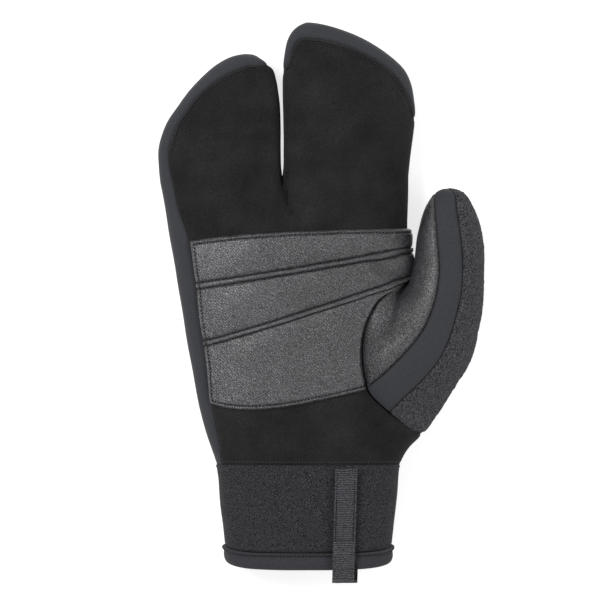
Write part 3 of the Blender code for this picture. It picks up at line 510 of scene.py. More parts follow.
def hand_sections(alongs):
    """The hand's table at shares of its length, in metres, with an array in each column."""
    size = sizes()
    rows = np.array(HAND_ROWS)
    values = spline(rows[:, 0], rows[:, 1:], alongs)
    left, middle, right, depth, rim, crease, seam_left, seam_right = values.T
    return HandRow(
        np.asarray(alongs) * size.hand_length,
        left * size.hand_width,
        middle * size.hand_width,
        right * size.hand_width,
        depth * size.hand_depth,
        rim * depth * size.hand_depth,
        crease * size.hand_depth,
        seam_left * SEAM_INSET,
        seam_right * SEAM_INSET,
    )


def hand_section(along):
    return HandRow(*(column[0] for column in hand_sections([along])))


def crease_dip(section, x):
    return dip(x - section.middle, section.crease, CREASE_WIDTH)


def hand_ring(along):
    section = hand_section(along)
    y = section.along
    points = ring(
        np.array([section.middle, y, section.rim]),
        np.array([section.middle, y, section.depth]),
        np.array([section.middle, y, -PRESSED]),
        np.array([section.right, y, section.rim]),
        np.array([section.left, y, section.rim]),
        HALF_AROUND // 2,
        HALF_AROUND // 2,
        (thumb_side_round(along), UPPER_ROUND),
    )
    dip = crease_dip(section, points[:, 0])
    points[:, 2] += np.where(points[:, 2] > section.rim, -dip, LOWER_CREASE * dip)
    points[:, 2] = np.maximum(points[:, 2], 0.0)
    return points


def thumb_side_round(along):
    """The hand gets boxier towards the index finger."""
    return UPPER_ROUND + (THUMB_SIDE_ROUND - UPPER_ROUND) * ramp(along, 0.25, 0.75)


def palm_heights(x, y):
    """Heights of the hand's plain palm side over places in plan."""
    section = hand_sections(y / sizes().hand_length)
    edge = np.where(x > section.middle, section.right, section.left)
    out = np.clip(np.abs((x - section.middle) / (edge - section.middle)), 0.0, 1.0)
    roundness = np.where(x > section.middle, thumb_side_round(y / sizes().hand_length), UPPER_ROUND)
    rise = (1.0 - out ** (2 / roundness)) ** (roundness / 2)
    return section.rim + (section.depth - section.rim) * rise - crease_dip(section, x)


def palm_relief(x, y):
    """Folds, hollows and soft waves of the palm side over places in plan."""
    size = sizes()
    place = np.stack([x, y], axis=-1)
    relief = np.zeros_like(x)
    for row in FOLD_ROWS:
        start = np.array([row.from_across * size.hand_width, row.from_along * size.hand_length])
        run = np.array([row.to_across * size.hand_width, row.to_along * size.hand_length]) - start
        share = np.clip(((place - start) @ run) / run.dot(run), 0.0, 1.0)
        away = np.linalg.norm(place - start - share[..., None] * run, axis=-1)
        relief = np.minimum(relief, -dip(away, row.depth * size.hand_depth, row.half_width * size.hand_width))
    return relief + WAVE_HEIGHT * waves(np.stack([x, y, np.zeros_like(x)], axis=-1), WAVE_LENGTH)


def waves(points, wave_length):
    """Smooth noise of about -1 to 1 at points."""
    flat = points.reshape(-1, 3) / wave_length
    values = np.array([noise.noise(Vector(point)) for point in flat.tolist()])
    return values.reshape(points.shape[:-1])


def finger_edges(row, length, width, side):
    """Inner and outer edge of a finger pocket in plan; side is -1 on the little finger's."""
    crotch = hand_section(1.0)
    inner_x = crotch.middle + side * (sizes().finger_gap / 2 + row.inner * width)
    outer_x = crotch.middle + side * row.outer * width
    inner = np.array([inner_x, crotch.along + row.inner_along * length, 0.0])
    outer = np.array([outer_x, crotch.along + row.outer_along * length, 0.0])
    return inner, outer


def finger_ring(row, length, width, side):
    inner, outer = finger_edges(row, length, width, side)
    middle = inner + (outer - inner) * row.middle
    low, high = row.low * sizes().finger_depth, row.high * sizes().finger_depth
    up = np.array([0.0, 0.0, 1.0])
    rim = (low + high) / 2 * up
    inner_steps, outer_steps = WEB_STEPS // 2, HALF_AROUND // 2
    ends = (middle + rim, middle + high * up, middle + low * up)
    if side > 0:
        rounds = (THUMB_SIDE_ROUND, GAP_SIDE_ROUND)
        return ring(*ends, outer + rim, inner + rim, outer_steps, inner_steps, rounds)
    rounds = (GAP_SIDE_ROUND, UPPER_ROUND)
    return ring(*ends, inner + rim, outer + rim, inner_steps, outer_steps, rounds)


def distances_to(points, start, run):
    """Each point's distance in plan to each straight run, and its share of the way along it."""
    to_point = points[:, None, :] - start
    share = np.clip((to_point * run).sum(2) / (run**2).sum(1), 0.0, 1.0)
    return np.linalg.norm(to_point - share[:, :, None] * run, axis=2), share


def signed_distance(points, outline):
    """Distance in plan to a closed outline, positive inside."""
    start, end = outline, np.roll(outline, -1, axis=0)
    run = end - start
    distance = distances_to(points, start, run)[0].min(axis=1)
    above = (start[:, 1] > points[:, 1:]) != (end[:, 1] > points[:, 1:])
    height = np.where(run[:, 1] == 0.0, 1.0, run[:, 1])
    crossing = start[:, 0] + (points[:, 1:] - start[:, 1]) * run[:, 0] / height
    inside = (above & (points[:, :1] < crossing)).sum(axis=1) % 2 == 1
    return np.where(inside, distance, -distance)


def outline_inset(points, outline, insets):
    """Distance in plan to an open outline, less the seam's inset from its nearest place."""
    distance, shares = distances_to(points, outline[:-1], np.diff(outline, axis=0))
    nearest = distance.argmin(axis=1)
    each = np.arange(len(points))
    share = shares[each, nearest]
    inset = insets[nearest] * (1 - share) + insets[nearest + 1] * share
    return distance[each, nearest] - inset


class Skin:
    """Points, each with its section's rim height and its marks for the cuts, and faces."""

    def __init__(self):
        self.points = []
        self.rims = []
        self.marks = []
        self.faces = []

    def add(self, points, rim=0.0):
        first = len(self.points)
        self.points.extend(np.array(point) for point in points)
        self.rims.extend([rim] * len(points))
        return list(range(first, len(self.points)))

    def band(self, lower, upper):
        """Faces between two closed rows of points."""
        for i, j in sides(list(range(len(lower)))):
            self.faces.append([lower[i], lower[j], upper[j], upper[i]])

    def cap(self, last, tip):
        for i, j in sides(list(range(len(last)))):
            self.faces.append([last[i], last[j], tip])

    def edges(self):
        found = set()
        for face in self.faces:
            for a, b in sides(face):
                found.add((min(a, b), max(a, b)))
        return sorted(found)

    def snap(self, mark, kept):
        """Slides points that lie close to the line of a mark onto it."""
        level = [marks[mark] for marks in self.marks]
        best = {}
        for edge in self.edges():
            for a, b in (edge, edge[::-1]):
                if level[a] * level[b] >= 0 or (a in kept and b not in kept):
                    continue
                t = level[a] / (level[a] - level[b])
                if t < SNAP and t < best.get(a, (1.0, b))[0]:
                    best[a] = (t, b)
        moved = {
            a: (
                self.points[a] + (self.points[b] - self.points[a]) * t,
                self.marks[a] + (self.marks[b] - self.marks[a]) * t,
            )
            for a, (t, b) in best.items()
        }
        for a, (point, marks) in moved.items():
            marks[mark] = 0.0
            self.points[a], self.marks[a] = point, marks

    def cut(self, mark, kept):
        """Cuts the faces along the line where a mark is zero."""
        self.snap(mark, kept)
        level = [marks[mark] for marks in self.marks]
        halfway = {}
        faces = []
        for face in self.faces:
            marks = [level[i] for i in face]
            if max(marks) <= 0 or min(marks) >= 0:
                faces.append(face)
                continue
            for k in range(1, len(face) - 1):
                faces.extend(self.cut_triangle([face[0], face[k], face[k + 1]], mark, halfway))
        self.faces = faces

    def cut_triangle(self, triangle, mark, halfway):
        loop = []
        for a, b in sides(triangle):
            loop.append(a)
            from_a, from_b = self.marks[a][mark], self.marks[b][mark]
            if from_a * from_b < 0:
                key = (min(a, b), max(a, b))
                if key not in halfway:
                    t = from_a / (from_a - from_b)
                    (halfway[key],) = self.add([self.points[a] * (1 - t) + self.points[b] * t])
                    self.marks.append(self.marks[a] * (1 - t) + self.marks[b] * t)
                    self.marks[-1][mark] = 0.0
                loop.append(halfway[key])
        for sign in (1, -1):
            piece = [i for i in loop if self.marks[i][mark] * sign >= 0]
            if len(piece) > 2 and any(self.marks[i][mark] * sign > 0 for i in piece):
                yield piece

    def is_inside(self, face, mark):
        return sum(self.marks[i][mark] for i in face) > 0


def finger_pocket(skin, hand_top, rows, tip, length, width, side, rings, web):
    """Adds one finger pocket above the hand's last ring."""
    half = HALF_AROUND
    if side > 0:
        foot = hand_top[: half + 1] + web[::-1]
    else:
        foot = [hand_top[0]] + web + hand_top[half:]
    sections = [finger_ring(row, length, width, side) for row in rows]
    first = np.array([skin.points[i] for i in foot])
    below = first - (hand_ring(1.0) - hand_ring(1.0 - 1.0 / COARSE_RINGS)).mean(axis=0)
    crotch = hand_section(1.0)
    mirrored = sections[0].copy()
    mirrored[:, 0] = 2 * crotch.middle - mirrored[:, 0]
    web_set = set(web)
    in_web = [k for k, i in enumerate(foot) if i in web_set]
    below[in_web] = mirrored[in_web]
    inner, _ = finger_edges(tip, length, width, side)
    pole = inner + np.array([-side * sizes().finger_gap / 2, 0.0, tip.high * sizes().finger_depth])
    last = sections[-1]
    beyond = 2 * last.mean(axis=0) - last
    stack = np.array([below, first, *sections, np.tile(pole, (len(first), 1)), beyond])
    travel = np.linalg.norm(np.diff(stack, axis=0), axis=2).mean(axis=1)
    knots = np.concatenate([[0.0], np.cumsum(travel)])
    even = np.sin(np.linspace(0.0, pi / 2, rings + 1)) ** FINGER_SPACING
    places = knots[1] + (knots[-2] - knots[1]) * even
    lofted = spline(knots, stack, places[1:-1])
    lofted[:, :, 2] = np.maximum(lofted[:, :, 2], 0.0)
    rim_places = [half // 2, half + WEB_STEPS // 2]
    if side < 0:
        rim_places = [WEB_STEPS // 2, WEB_STEPS + half // 2]
    previous = foot
    for section in lofted:
        row = skin.add(section, section[rim_places, 2].mean())
        skin.band(previous, row)
        previous = row
    (top,) = skin.add([pole], pole[2])
    skin.cap(previous, top)


def pocket_widths():
    crotch = hand_section(1.0)
    return crotch.middle - crotch.left, crotch.right - crotch.middle


def outline_and_seams():
    """The glove's outline in plan, without the thumb, and the seam's inset at each of its points."""
    points, insets = [], []
    hand = [hand_section(along) for along in np.linspace(0.0, 1.0, OUTLINE_SECTIONS)]
    little_width, index_width = pocket_widths()
    fingers = (
        (LITTLE_ROWS, LITTLE_TIP, sizes().little_length, little_width, -1),
        (INDEX_ROWS, INDEX_TIP, sizes().index_length, index_width, 1),
    )
    for section in hand:
        points.append((section.left, section.along))
        insets.append(section.seam_left)
    for rows, tip, length, width, side in fingers:
        edges = [(finger_edges(row, length, width, side), row) for row in rows]
        outer = [(edge[1][:2], row.seam_outer * SEAM_INSET) for edge, row in edges]
        inner = [(edge[0][:2], row.seam_inner * SEAM_INSET) for edge, row in edges]
        pole = finger_edges(tip, length, width, side)[0][:2]
        chain = outer + [(pole, tip.seam_outer * SEAM_INSET)] + inner[::-1]
        for point, inset in chain if side < 0 else chain[::-1]:
            points.append(tuple(point))
            insets.append(inset)
    for section in hand[::-1]:
        points.append((section.right, section.along))
        insets.append(section.seam_right)
    outline, insets = np.array(points), np.array(insets)
    travelled = lengths_along(outline)
    even = np.linspace(0.0, travelled[-1], OUTLINE_SAMPLES)
    return spline(travelled, outline, even), np.interp(even, travelled, insets)


def hole_border(column):
    """One side of the thumb's hole in plan, from the thumb's crotch down."""
    rows = np.array(HOLE_ROWS)
    places = np.linspace(0, len(rows) - 1, BORDER_SAMPLES + 1)
    fine = spline(np.arange(len(rows)), rows[:, [0, column]], places)
    right = hand_sections(fine[:, 0]).right
    return np.stack([fine[:, 1] * right, fine[:, 0] * sizes().hand_length], axis=1)


def mark_skin(skin):
    """Marks each point: positive on the palm panel, and positive inside the thumb's hole."""
    points = np.array(skin.points)
    rise = points[:, 2] - np.array(skin.rims)
    outline, insets = outline_and_seams()
    borders = []
    for column in (1, 2):
        border = hole_border(column)
        far = border[-1, 0] + sizes().hand_width
        borders.append(np.concatenate([border, [(far, border[-1, 1]), (far, border[0, 1])]]))
    skin.marks = []
    for first in range(0, len(points), CHUNK):
        plan, above = points[first : first + CHUNK, :2], rise[first : first + CHUNK]
        palm = np.minimum(outline_inset(plan, outline, insets), above + SEAM_DROP)
        on_palm, on_back = (signed_distance(plan, border) for border in borders)
        hole = np.where(above >= 0, on_palm, on_back)
        skin.marks.extend(np.stack([palm, hole], axis=1))


def hand_skin():
    """Skin of the hand and both finger pockets, with its marks; returns it and its wrist row."""
    skin = Skin()
    previous = wrist = skin.add(hand_ring(0.0), hand_section(0.0).rim)
    for along in np.linspace(0.0, 1.0, HAND_RINGS + 1)[1:]:
        row = skin.add(hand_ring(along), hand_section(along).rim)
        skin.band(previous, row)
        previous = row
    top, low = skin.points[previous[0]], skin.points[previous[HALF_AROUND]]
    steps = np.linspace(0.0, 1.0, WEB_STEPS + 1)[1:-1, None]
    web = skin.add(top * (1 - steps) + low * steps, hand_section(1.0).rim)
    size = sizes()
    little_width, index_width = pocket_widths()
    finger_pocket(
        skin, previous, LITTLE_ROWS, LITTLE_TIP, size.little_length, little_width, -1, LITTLE_RINGS, web
    )
    finger_pocket(
        skin, previous, INDEX_ROWS, INDEX_TIP, size.index_length, index_width, 1, INDEX_RINGS, web
    )
    mark_skin(skin)
    return skin, set(wrist)


def hole_loop(skin):
    """The points round the thumb's hole: crotch, palm side, notch, back side."""
    edges = {(a, b) for face in skin.faces for a, b in sides(face)}
    before = {
        b: a
        for a, b in edges
        if (b, a) not in edges and skin.marks[a][Mark.HOLE] == 0 and skin.marks[b][Mark.HOLE] == 0
    }
    loop = [max(before, key=lambda i: skin.points[i][1])]
    while before[loop[-1]] != loop[0]:
        loop.append(before[loop[-1]])
    return np.array([skin.points[i] for i in loop])


def thumb_paths(row, crotch):
    """Palm side and back of one section of the thumb, from its inner to its outer edge."""
    size = sizes()
    inner = crotch + (row.inner_across * size.thumb_width, row.inner_along * size.thumb_reach, 0.0)
    outer = crotch + (row.outer_across * size.thumb_width, row.outer_along * size.thumb_reach, 0.0)
    inner[2], outer[2] = row.inner_rise * size.thumb_depth, row.outer_rise * size.thumb_depth
    across = unit(outer - inner)
    palmward = unit(np.array([across[1], -across[0], 0.0]))
    up = np.array([0.0, 0.0, 1.0])
    centre = (inner + outer) / 2
    paths = []
    for bulge, lean, sign in ((row.palm, row.palm_lean, 1), (row.back, row.back_lean, -1)):
        away = sign * cos(radians(lean)) * up + sin(radians(lean)) * palmward
        away = unit(away - across * away.dot(across))
        crest = centre + away * bulge * size.thumb_depth
        inner_half = arc(centre, crest, inner, row.inner_round, HALF_AROUND)
        outer_half = arc(centre, crest, outer, THUMB_ROUND, HALF_AROUND)
        paths.append(np.concatenate([inner_half[::-1], outer_half[1:]]))
    return paths


class Thumb:
    """The thumb's surface, lofted out of its hole. Round the thumb, 0 to 1 is leather from the
    crotch, 1 to 2 is the gusset, 2 to 3 is fleece on the palm side and 3 to 4 is fleece on the back."""

    def __init__(self, loop):
        notch = int(loop[:, 1].argmin())
        palm_side, back_side = loop[: notch + 1], np.concatenate([loop[notch:], loop[:1]])
        travelled = lengths_along(palm_side) / lengths_along(palm_side)[-1]
        feet = [
            float(np.interp(-foot * sizes().hand_length, -palm_side[:, 1], travelled))
            for foot in (LEATHER_FOOT, FLEECE_FOOT)
        ]
        self.crotch = np.array([loop[0][0], loop[0][1], 0.0])
        self.rows = [(palm_side, back_side[::-1], *feet)]
        for row in THUMB_ROWS:
            self.rows.append((*thumb_paths(row, self.crotch), row.leather, row.fleece))
        across, along, rise = THUMB_TIP
        size = sizes()
        self.tip = self.crotch + (
            across * size.thumb_width, along * size.thumb_reach, rise * size.thumb_depth
        )
        stack = self.stack(np.linspace(0.0, 4.0, TRAVEL_SAMPLES + 1)[:-1])
        travel = np.linalg.norm(np.diff(stack, axis=0), axis=2).mean(axis=1)
        self.knots = np.concatenate([[0.0], np.cumsum(travel)])

    def stack(self, rounds):
        """The table's sections at places round the thumb, with the tip and a section beyond it."""
        sections = []
        for palm_path, back_path, leather, fleece in self.rows:
            on_palm = path_point(palm_path, np.interp(rounds, [0, 1, 2, 3], [0, leather, fleece, 1]))
            on_back = path_point(back_path, np.interp(rounds, [3, 4], [1, 0]))
            sections.append(np.where((rounds <= 3)[:, None], on_palm, on_back))
        centre = np.mean([*self.rows[-1][0], *self.rows[-1][1]], axis=0)
        beyond = 2 * centre - sections[-1]
        return np.array([*sections, np.tile(self.tip, (len(rounds), 1)), beyond])

    def grid(self, rounds, rings):
        """Points of a grid from the hole to the tip; returns it and its rows' places."""
        even = np.sin(np.linspace(0.0, pi / 2, rings + 1)) ** THUMB_SPACING
        places = self.knots[-2] * even
        closing = int(np.abs(places - self.knots[-3]).argmin())
        places[closing] = self.knots[-3]
        return spline(self.knots, self.stack(rounds), places), closing


def grid_faces(rows, columns, left_out=(0, 0)):
    """Faces of a grid; left_out is how many rows and columns at its first corner have none."""
    faces = []
    for i in range(rows - 1):
        for j in range(columns - 1):
            if i >= left_out[0] or j >= left_out[1]:
                corner = i * columns + j
                faces.append([corner, corner + columns, corner + columns + 1, corner + 1])
    return faces


def sheet_faces(rows, columns):
    """Faces of a closed sheet: its upper grid, the same grid below it, and its edges."""
    count = rows * columns
    upper = grid_faces(rows, columns)
    under = [[i + count for i in face[::-1]] for face in upper]
    return upper + under + [[b, a, a + count, b + count] for a, b in border_of(upper)]


def grid_normals(grid, centre):
    """Normals of a grid, pointing away from its rows' centres."""
    along = np.gradient(grid, axis=0)
    across = np.gradient(grid, axis=1)
    normals = unit_rows(np.cross(along, across))
    out = (normals * (grid - centre)).sum()
    return normals if out > 0 else -normals


def vertex_normals(points, faces):
    mesh = bpy.data.meshes.new("scratch")
    mesh.from_pydata(points.tolist(), [], faces)
    normals = np.empty(len(points) * 3, dtype=np.float32)
    mesh.vertex_normals.foreach_get("vector", normals)
    bpy.data.meshes.remove(mesh)
    return normals.reshape(-1, 3).astype(float)


def smooth_rows(values, faces, rounds):
    """Averages each point's value with its neighbours'."""
    pairs = {(min(a, b), max(a, b)) for face in faces for a, b in sides(face)}
    ends = np.array(sorted(pairs))
    weight = np.bincount(ends.ravel(), minlength=len(values))[:, None] + 1.0
    for _ in range(rounds):
        total = values.copy()
        for axis in range(values.shape[1]):
            total[:, axis] += np.bincount(ends[:, 0], values[ends[:, 1], axis], len(values))
            total[:, axis] += np.bincount(ends[:, 1], values[ends[:, 0], axis], len(values))
        values = total / weight
    return values


def border_of(faces):
    edges = {(a, b) for face in faces for a, b in sides(face)}
    return [edge for edge in edges if edge[::-1] not in edges]


def distance_to_border(points, border):
    """Each point's distance to a panel's border."""
    starts = points[[a for a, _ in border]]
    ends = points[[b for _, b in border]]
    shares = np.linspace(0.0, 1.0, BORDER_STEPS + 1)[:-1]
    samples = np.concatenate([starts + (ends - starts) * share for share in shares])
    tree = kdtree.KDTree(len(samples))
    for number, sample in enumerate(samples.tolist()):
        tree.insert(sample, number)
    tree.balance()
    return np.array([tree.find(point)[2] for point in points.tolist()])


def seam_profile(distance, sewn=0.0):
    """Height over the plain surface: a valley at the seam and a puffed shoulder beside it; where it
    is sewn down, a roll and a row of stitches lie between them."""
    share = distance / PUFF_PLACE
    puff = SEAM_PUFF * share * np.exp(1.0 - share)
    puff -= SEAM_DEPTH * np.exp(-((distance / SEAM_REACH) ** SEAM_SHARPNESS))
    roll = dip(distance - TOPSTITCH / 2, ROLL_HEIGHT, ROLL_HALF)
    return puff + sewn * (roll - dip(distance - TOPSTITCH, STITCH_DIP, STITCH_HALF))


def dip(distance, depth, half_width):
    return depth * np.exp(-((distance / half_width) ** 2))


def refine(points, faces, groups):
    """Halves the faces beside the edges between groups and beside open edges."""
    mesh = bpy.data.meshes.new("scratch")
    mesh.from_pydata(points.tolist(), [], faces)
    mesh.polygons.foreach_set("material_index", groups)
    border = []
    for group in set(groups):
        border += border_of([face for face, own in zip(faces, groups) if own == group])
    near = distance_to_border(points, border) < FINE_REACH
    work = bmesh.new()
    work.from_mesh(mesh)
    work.verts.ensure_lookup_table()
    edges = [edge for edge in work.edges if all(near[vert.index] for vert in edge.verts)]
    bmesh.ops.subdivide_edges(work, edges=edges, cuts=1, use_grid_fill=True)
    work.verts.index_update()
    points = np.array([vert.co[:] for vert in work.verts])
    faces = [[vert.index for vert in face.verts] for face in work.faces]
    groups = [face.material_index for face in work.faces]
    work.free()
    bpy.data.meshes.remove(mesh)
    return points, faces, groups


def wall_mesh(outer, normals, faces, wall, pull, border, open_row=frozenset()):
    """A closed wall under an outer face, its border pulled back from its neighbours."""
    edges = {(a, b): face for face in faces for a, b in sides(face)}
    inward = defaultdict(list)
    for a, b in border:
        if a in open_row and b in open_row:
            continue
        corners = outer[edges[a, b]]
        face_normal = unit(np.cross(corners, np.roll(corners, -1, axis=0)).sum(axis=0))
        into = unit(np.cross(face_normal, unit(outer[b] - outer[a])))
        inward[a].append(into)
        inward[b].append(into)
    shifted = outer.copy()
    for i, directions in inward.items():
        middle = unit(sum(directions))
        shift = middle * pull / max(middle.dot(directions[0]), MITRE_LIMIT)
        if i in open_row:
            shift[1] = 0.0
        shifted[i] += shift
    used = sorted({i for face in faces for i in face})
    place = {i: k for k, i in enumerate(used)}
    count = len(used)
    quads = [[place[i] for i in face] for face in faces]
    lining_first = len(quads)
    quads += [[place[i] + count for i in face[::-1]] for face in faces]
    quads += [[place[b], place[a], place[a] + count, place[b] + count] for a, b in border]
    inner = shifted[used] - normals[used] * wall
    return np.concatenate([shifted[used], inner]), quads, lining_first


def make_object(name, points, faces, material, lining_and_loop_shade=None, lining_first=None):
    """An object at the origin from points in the hand's own frame."""
    mesh = bpy.data.meshes.new(name)
    mesh.from_pydata((np.asarray(points) + ORIGIN).tolist(), [], faces)
    mesh.materials.append(material)
    if lining_and_loop_shade is not None:
        mesh.materials.append(lining_and_loop_shade)
        inside = np.zeros(len(faces), dtype=np.int32)
        inside[lining_first:] = 1
        mesh.polygons.foreach_set("material_index", inside)
    work = bmesh.new()
    work.from_mesh(mesh)
    bmesh.ops.recalc_face_normals(work, faces=work.faces)
    work.to_mesh(mesh)
    work.free()
    mesh.shade_smooth()
    mesh.set_sharp_from_angle(angle=radians(SHARP_DEGREES))
    made = bpy.data.objects.new(name, mesh)
    bpy.context.scene.collection.objects.link(made)
    return made


def dress(piece, node, slot):
    """Puts a piece in the place of a plain one."""
    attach(piece, "root")
    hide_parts(node)


def add_hand_panels(seams):
    """Palm and back panels; returns the hole's loop and notes each panel's seams."""
    skin, wrist = hand_skin()
    skin.cut(Mark.HOLE, wrist)
    skin.faces = [face for face in skin.faces if not skin.is_inside(face, Mark.HOLE)]
    skin.cut(Mark.PALM, wrist)
    loop = hole_loop(skin)
    groups = [int(skin.is_inside(face, Mark.PALM)) for face in skin.faces]
    points, faces, groups = refine(np.array(skin.points), skin.faces, groups)
    normals = unit_rows(smooth_rows(vertex_normals(points, faces), faces, NORMAL_ROUNDS))
    wrist_row = set(np.flatnonzero(np.abs(points[:, 1]) < SAME_PLACE).tolist())
    for i in wrist_row:
        normals[i][1] = 0.0
        normals[i] = unit(normals[i])
    hand = sizes().hand_length
    palmward = ramp(normals[:, 2], FLAT_FACING, FULL_FACING)
    plan_y = np.clip(points[:, 1], 0.0, hand * FINGER_RELIEF)
    relief = palm_relief(points[:, 0], plan_y)
    relief *= 1.0 - ramp(points[:, 1], hand * RELIEF_LOW, hand * FINGER_RELIEF)
    back = BACK_WAVES * waves(points, BACK_WAVE_LENGTH) * ramp(points[:, 2], 0.0, RESTING_HEIGHT)
    sewn = ramp(points[:, 1], hand * SEWN_LOW, hand * SEWN_HIGH) * palmward
    for name, inside, slot in (("palm_panel", 1, "suede"), ("back_panel", 0, "softshell")):
        own = [face for face, group in zip(faces, groups) if group == inside]
        border = border_of(own)
        used = sorted({i for face in own for i in face})
        height = np.zeros(len(points))
        distance = distance_to_border_used(points, border, used)
        height[used] = seam_profile(distance, sewn[used] * inside) * wrist_ease(points[used, 1])
        # The roll values are painted light for the suede: a painted highlight along the sewn roll and painted
        # shade in the stitch dip beside it
        rolled = np.zeros(len(points))
        rolled[used] = sewn[used] * inside * (
            dip(distance - TOPSTITCH / 2, 1.0, ROLL_HALF) - dip(distance - TOPSTITCH, 1.0, STITCH_HALF)
        )
        height += relief * palmward + back * (1.0 - palmward)
        outer = points + normals * height[:, None]
        outer[:, 2] = np.maximum(outer[:, 2], 0.0)
        outer[list(wrist_row), 1] -= GAP * WRIST_REACH
        shell = wall_mesh(outer, normals, own, sizes().wall, HALF_SEAM_GAP, border, wrist_row)
        piece = make_object(name + "_cloth", shell[0], shell[1], finish(slot), finish("lining_and_loop_shade"), shell[2])
        roll = piece.data.attributes.new("roll", "FLOAT", "POINT")
        roll.data.foreach_set("value", np.tile(rolled[used], 2))
        dress(piece, name, slot)
        seams[name] = (outer, normals, own, border)
    return loop


def wrist_ease(y):
    """The seam at the wrist is flatter than the others."""
    return WRIST_SEAM + (1.0 - WRIST_SEAM) * ramp(y, EASE_LOW, EASE_HIGH)


def distance_to_border_used(points, border, used):
    """Distances of the used points alone."""
    place = {i: k for k, i in enumerate(used)}
    return distance_to_border(points[used], [(place[a], place[b]) for a, b in border])


def add_thumb_panels(loop, seams):
    """Leather, gusset and fleece panels of the thumb; notes each panel's seams."""
    thumb = Thumb(loop)
    slots = {"thumb_palm": "grained_leather", "thumb_gusset": "softshell", "thumb_back": "fleece"}
    for name, (start, end, steps) in THUMB_STEPS.items():
        rounds = np.linspace(start, end, steps + 1)
        rings = FLEECE_RINGS if name == "thumb_back" else THUMB_RINGS
        grid, closing = thumb.grid(rounds, rings)
        if name == "thumb_palm":
            grid = grid[: closing + 1]
        rows, columns = grid.shape[:2]
        left_out = (closing, steps // 2) if name == "thumb_gusset" else (0, 0)
        centre = thumb_centre(thumb, rings)[:rows, None, :]
        normals = grid_normals(grid, centre).reshape(-1, 3)
        points = grid.reshape(-1, 3)
        faces = grid_faces(rows, columns, left_out)
        if name != "thumb_palm":
            faces, tip_row = close_tip(faces, rows, columns)
            normals[tip_row] = unit(normals[tip_row[0] - columns : tip_row[0]].sum(axis=0))
        faces = outward(points, faces, normals)
        border = border_of(faces)
        used = sorted({i for face in faces for i in face})
        height = np.zeros(len(points))
        height[used] = seam_profile(distance_to_border_used(points, border, used))
        height += THUMB_WAVES * waves(points, THUMB_WAVE_LENGTH)
        if name == "thumb_back":
            height += fleece_relief(points)
        outer = points + normals * height[:, None]
        shell = wall_mesh(outer, normals, faces, sizes().wall, HALF_SEAM_GAP, border)
        slot = slots[name]
        piece = make_object(name + "_cloth", shell[0], shell[1], finish(slot), finish("lining_and_loop_shade"), shell[2])
        dress(piece, name, slot)
        seams[name] = (outer, normals, faces, border)


def fleece_relief(points):
    """Curly pebbles of the fleece."""
    broad = waves(points, FLEECE_CURL)
    fine = waves(points + 1.0, FLEECE_CURL / 2)
    return FLEECE_HEIGHT * (broad + 0.5 * fine)


def thumb_centre(thumb, rings):
    grid, _ = thumb.grid(np.linspace(0.0, 4.0, CENTRE_SAMPLES + 1)[:-1], rings)
    return grid.mean(axis=1)


def close_tip(faces, rows, columns):
    """Turns the last row, which lies on the tip, into one point."""
    first = (rows - 1) * columns
    closed = []
    for face in faces:
        corners = []
        for i in face:
            corner = min(i, first) if i >= first else i
            if corner not in corners:
                corners.append(corner)
        closed.append(corners)
    return closed, list(range(first, rows * columns))


def outward(points, faces, normals):
    """The faces, turned round if they run against the normals."""
    middle = faces[len(faces) // 2]
    corners = points[middle]
    facing = np.cross(corners, np.roll(corners, -1, axis=0)).sum(axis=0)
    if facing.dot(normals[middle].sum(axis=0)) < 0:
        return [face[::-1] for face in faces]
    return faces


def cuff_section(y):
    """Edges and height of the cuff's outside at a place below the cuff seam."""
    size = sizes()
    wrist = hand_section(0.0)
    down = min(-y / (size.cuff_length + size.hem_length), 1.0)
    left = wrist.left + size.cuff_taper * down
    right = wrist.right - size.cuff_taper * down
    return left, right, wrist.depth, wrist.rim


def cuff_height(x, y):
    """Height of the cuff's palm side over a place in plan."""
    left, right, depth, rim = cuff_section(y)
    edge = right if x > 0 else left
    rise = (1.0 - min(abs(x / edge), 1.0) ** (2 / UPPER_ROUND)) ** (UPPER_ROUND / 2)
    return rim + (depth - rim) * rise


def cuff_ring(y, out):
    """A section of the cuff that stands out by so much."""
    left, right, depth, rim = cuff_section(y)
    return ring(
        np.array([0.0, y, rim]),
        np.array([0.0, y, depth + out]),
        np.array([0.0, y, -PRESSED - min(out, 0.0)]),
        np.array([right + out, y, rim]),
        np.array([left - out, y, rim]),
        HALF_AROUND // 2,
        HALF_AROUND // 2,
    )


def cuff_tube(ys, proud, wall):
    """A length of tube below the cuff seam; proud is how far each of its rows stands out."""
    rows = []
    for y, out in zip(ys, proud):
        points = cuff_ring(y, out)
        points[:, 2] = np.maximum(points[:, 2], 0.0)
        rows.append(points)
    around = len(rows[0])
    points = np.concatenate(rows)
    faces = [
        [(k + 1) * around + i, (k + 1) * around + j, k * around + j, k * around + i]
        for k in range(len(rows) - 1)
        for i, j in sides(list(range(around)))
    ]
    normals = vertex_normals(points, faces)
    normals[:, 1] = 0.0
    normals = unit_rows(normals)
    swell = CUFF_WAVES * waves(points, CUFF_WAVE_LENGTH) * ramp(points[:, 2], 0.0, RESTING_HEIGHT)
    points = points + normals * swell[:, None]
    points[:, 1] += drawn_up(points[:, 1], points[:, 2])
    return wall_mesh(points, normals, faces, wall, 0.0, border_of(faces), frozenset(range(len(points))))


def drawn_up(y, z):
    """How far the cuff is drawn up at its sides, where it is low."""
    return CUFF_BOW * (1.0 - ramp(z, LOW_SIDE, HIGH_SIDE)) * ramp(-y, 0.0, sizes().cuff_length)


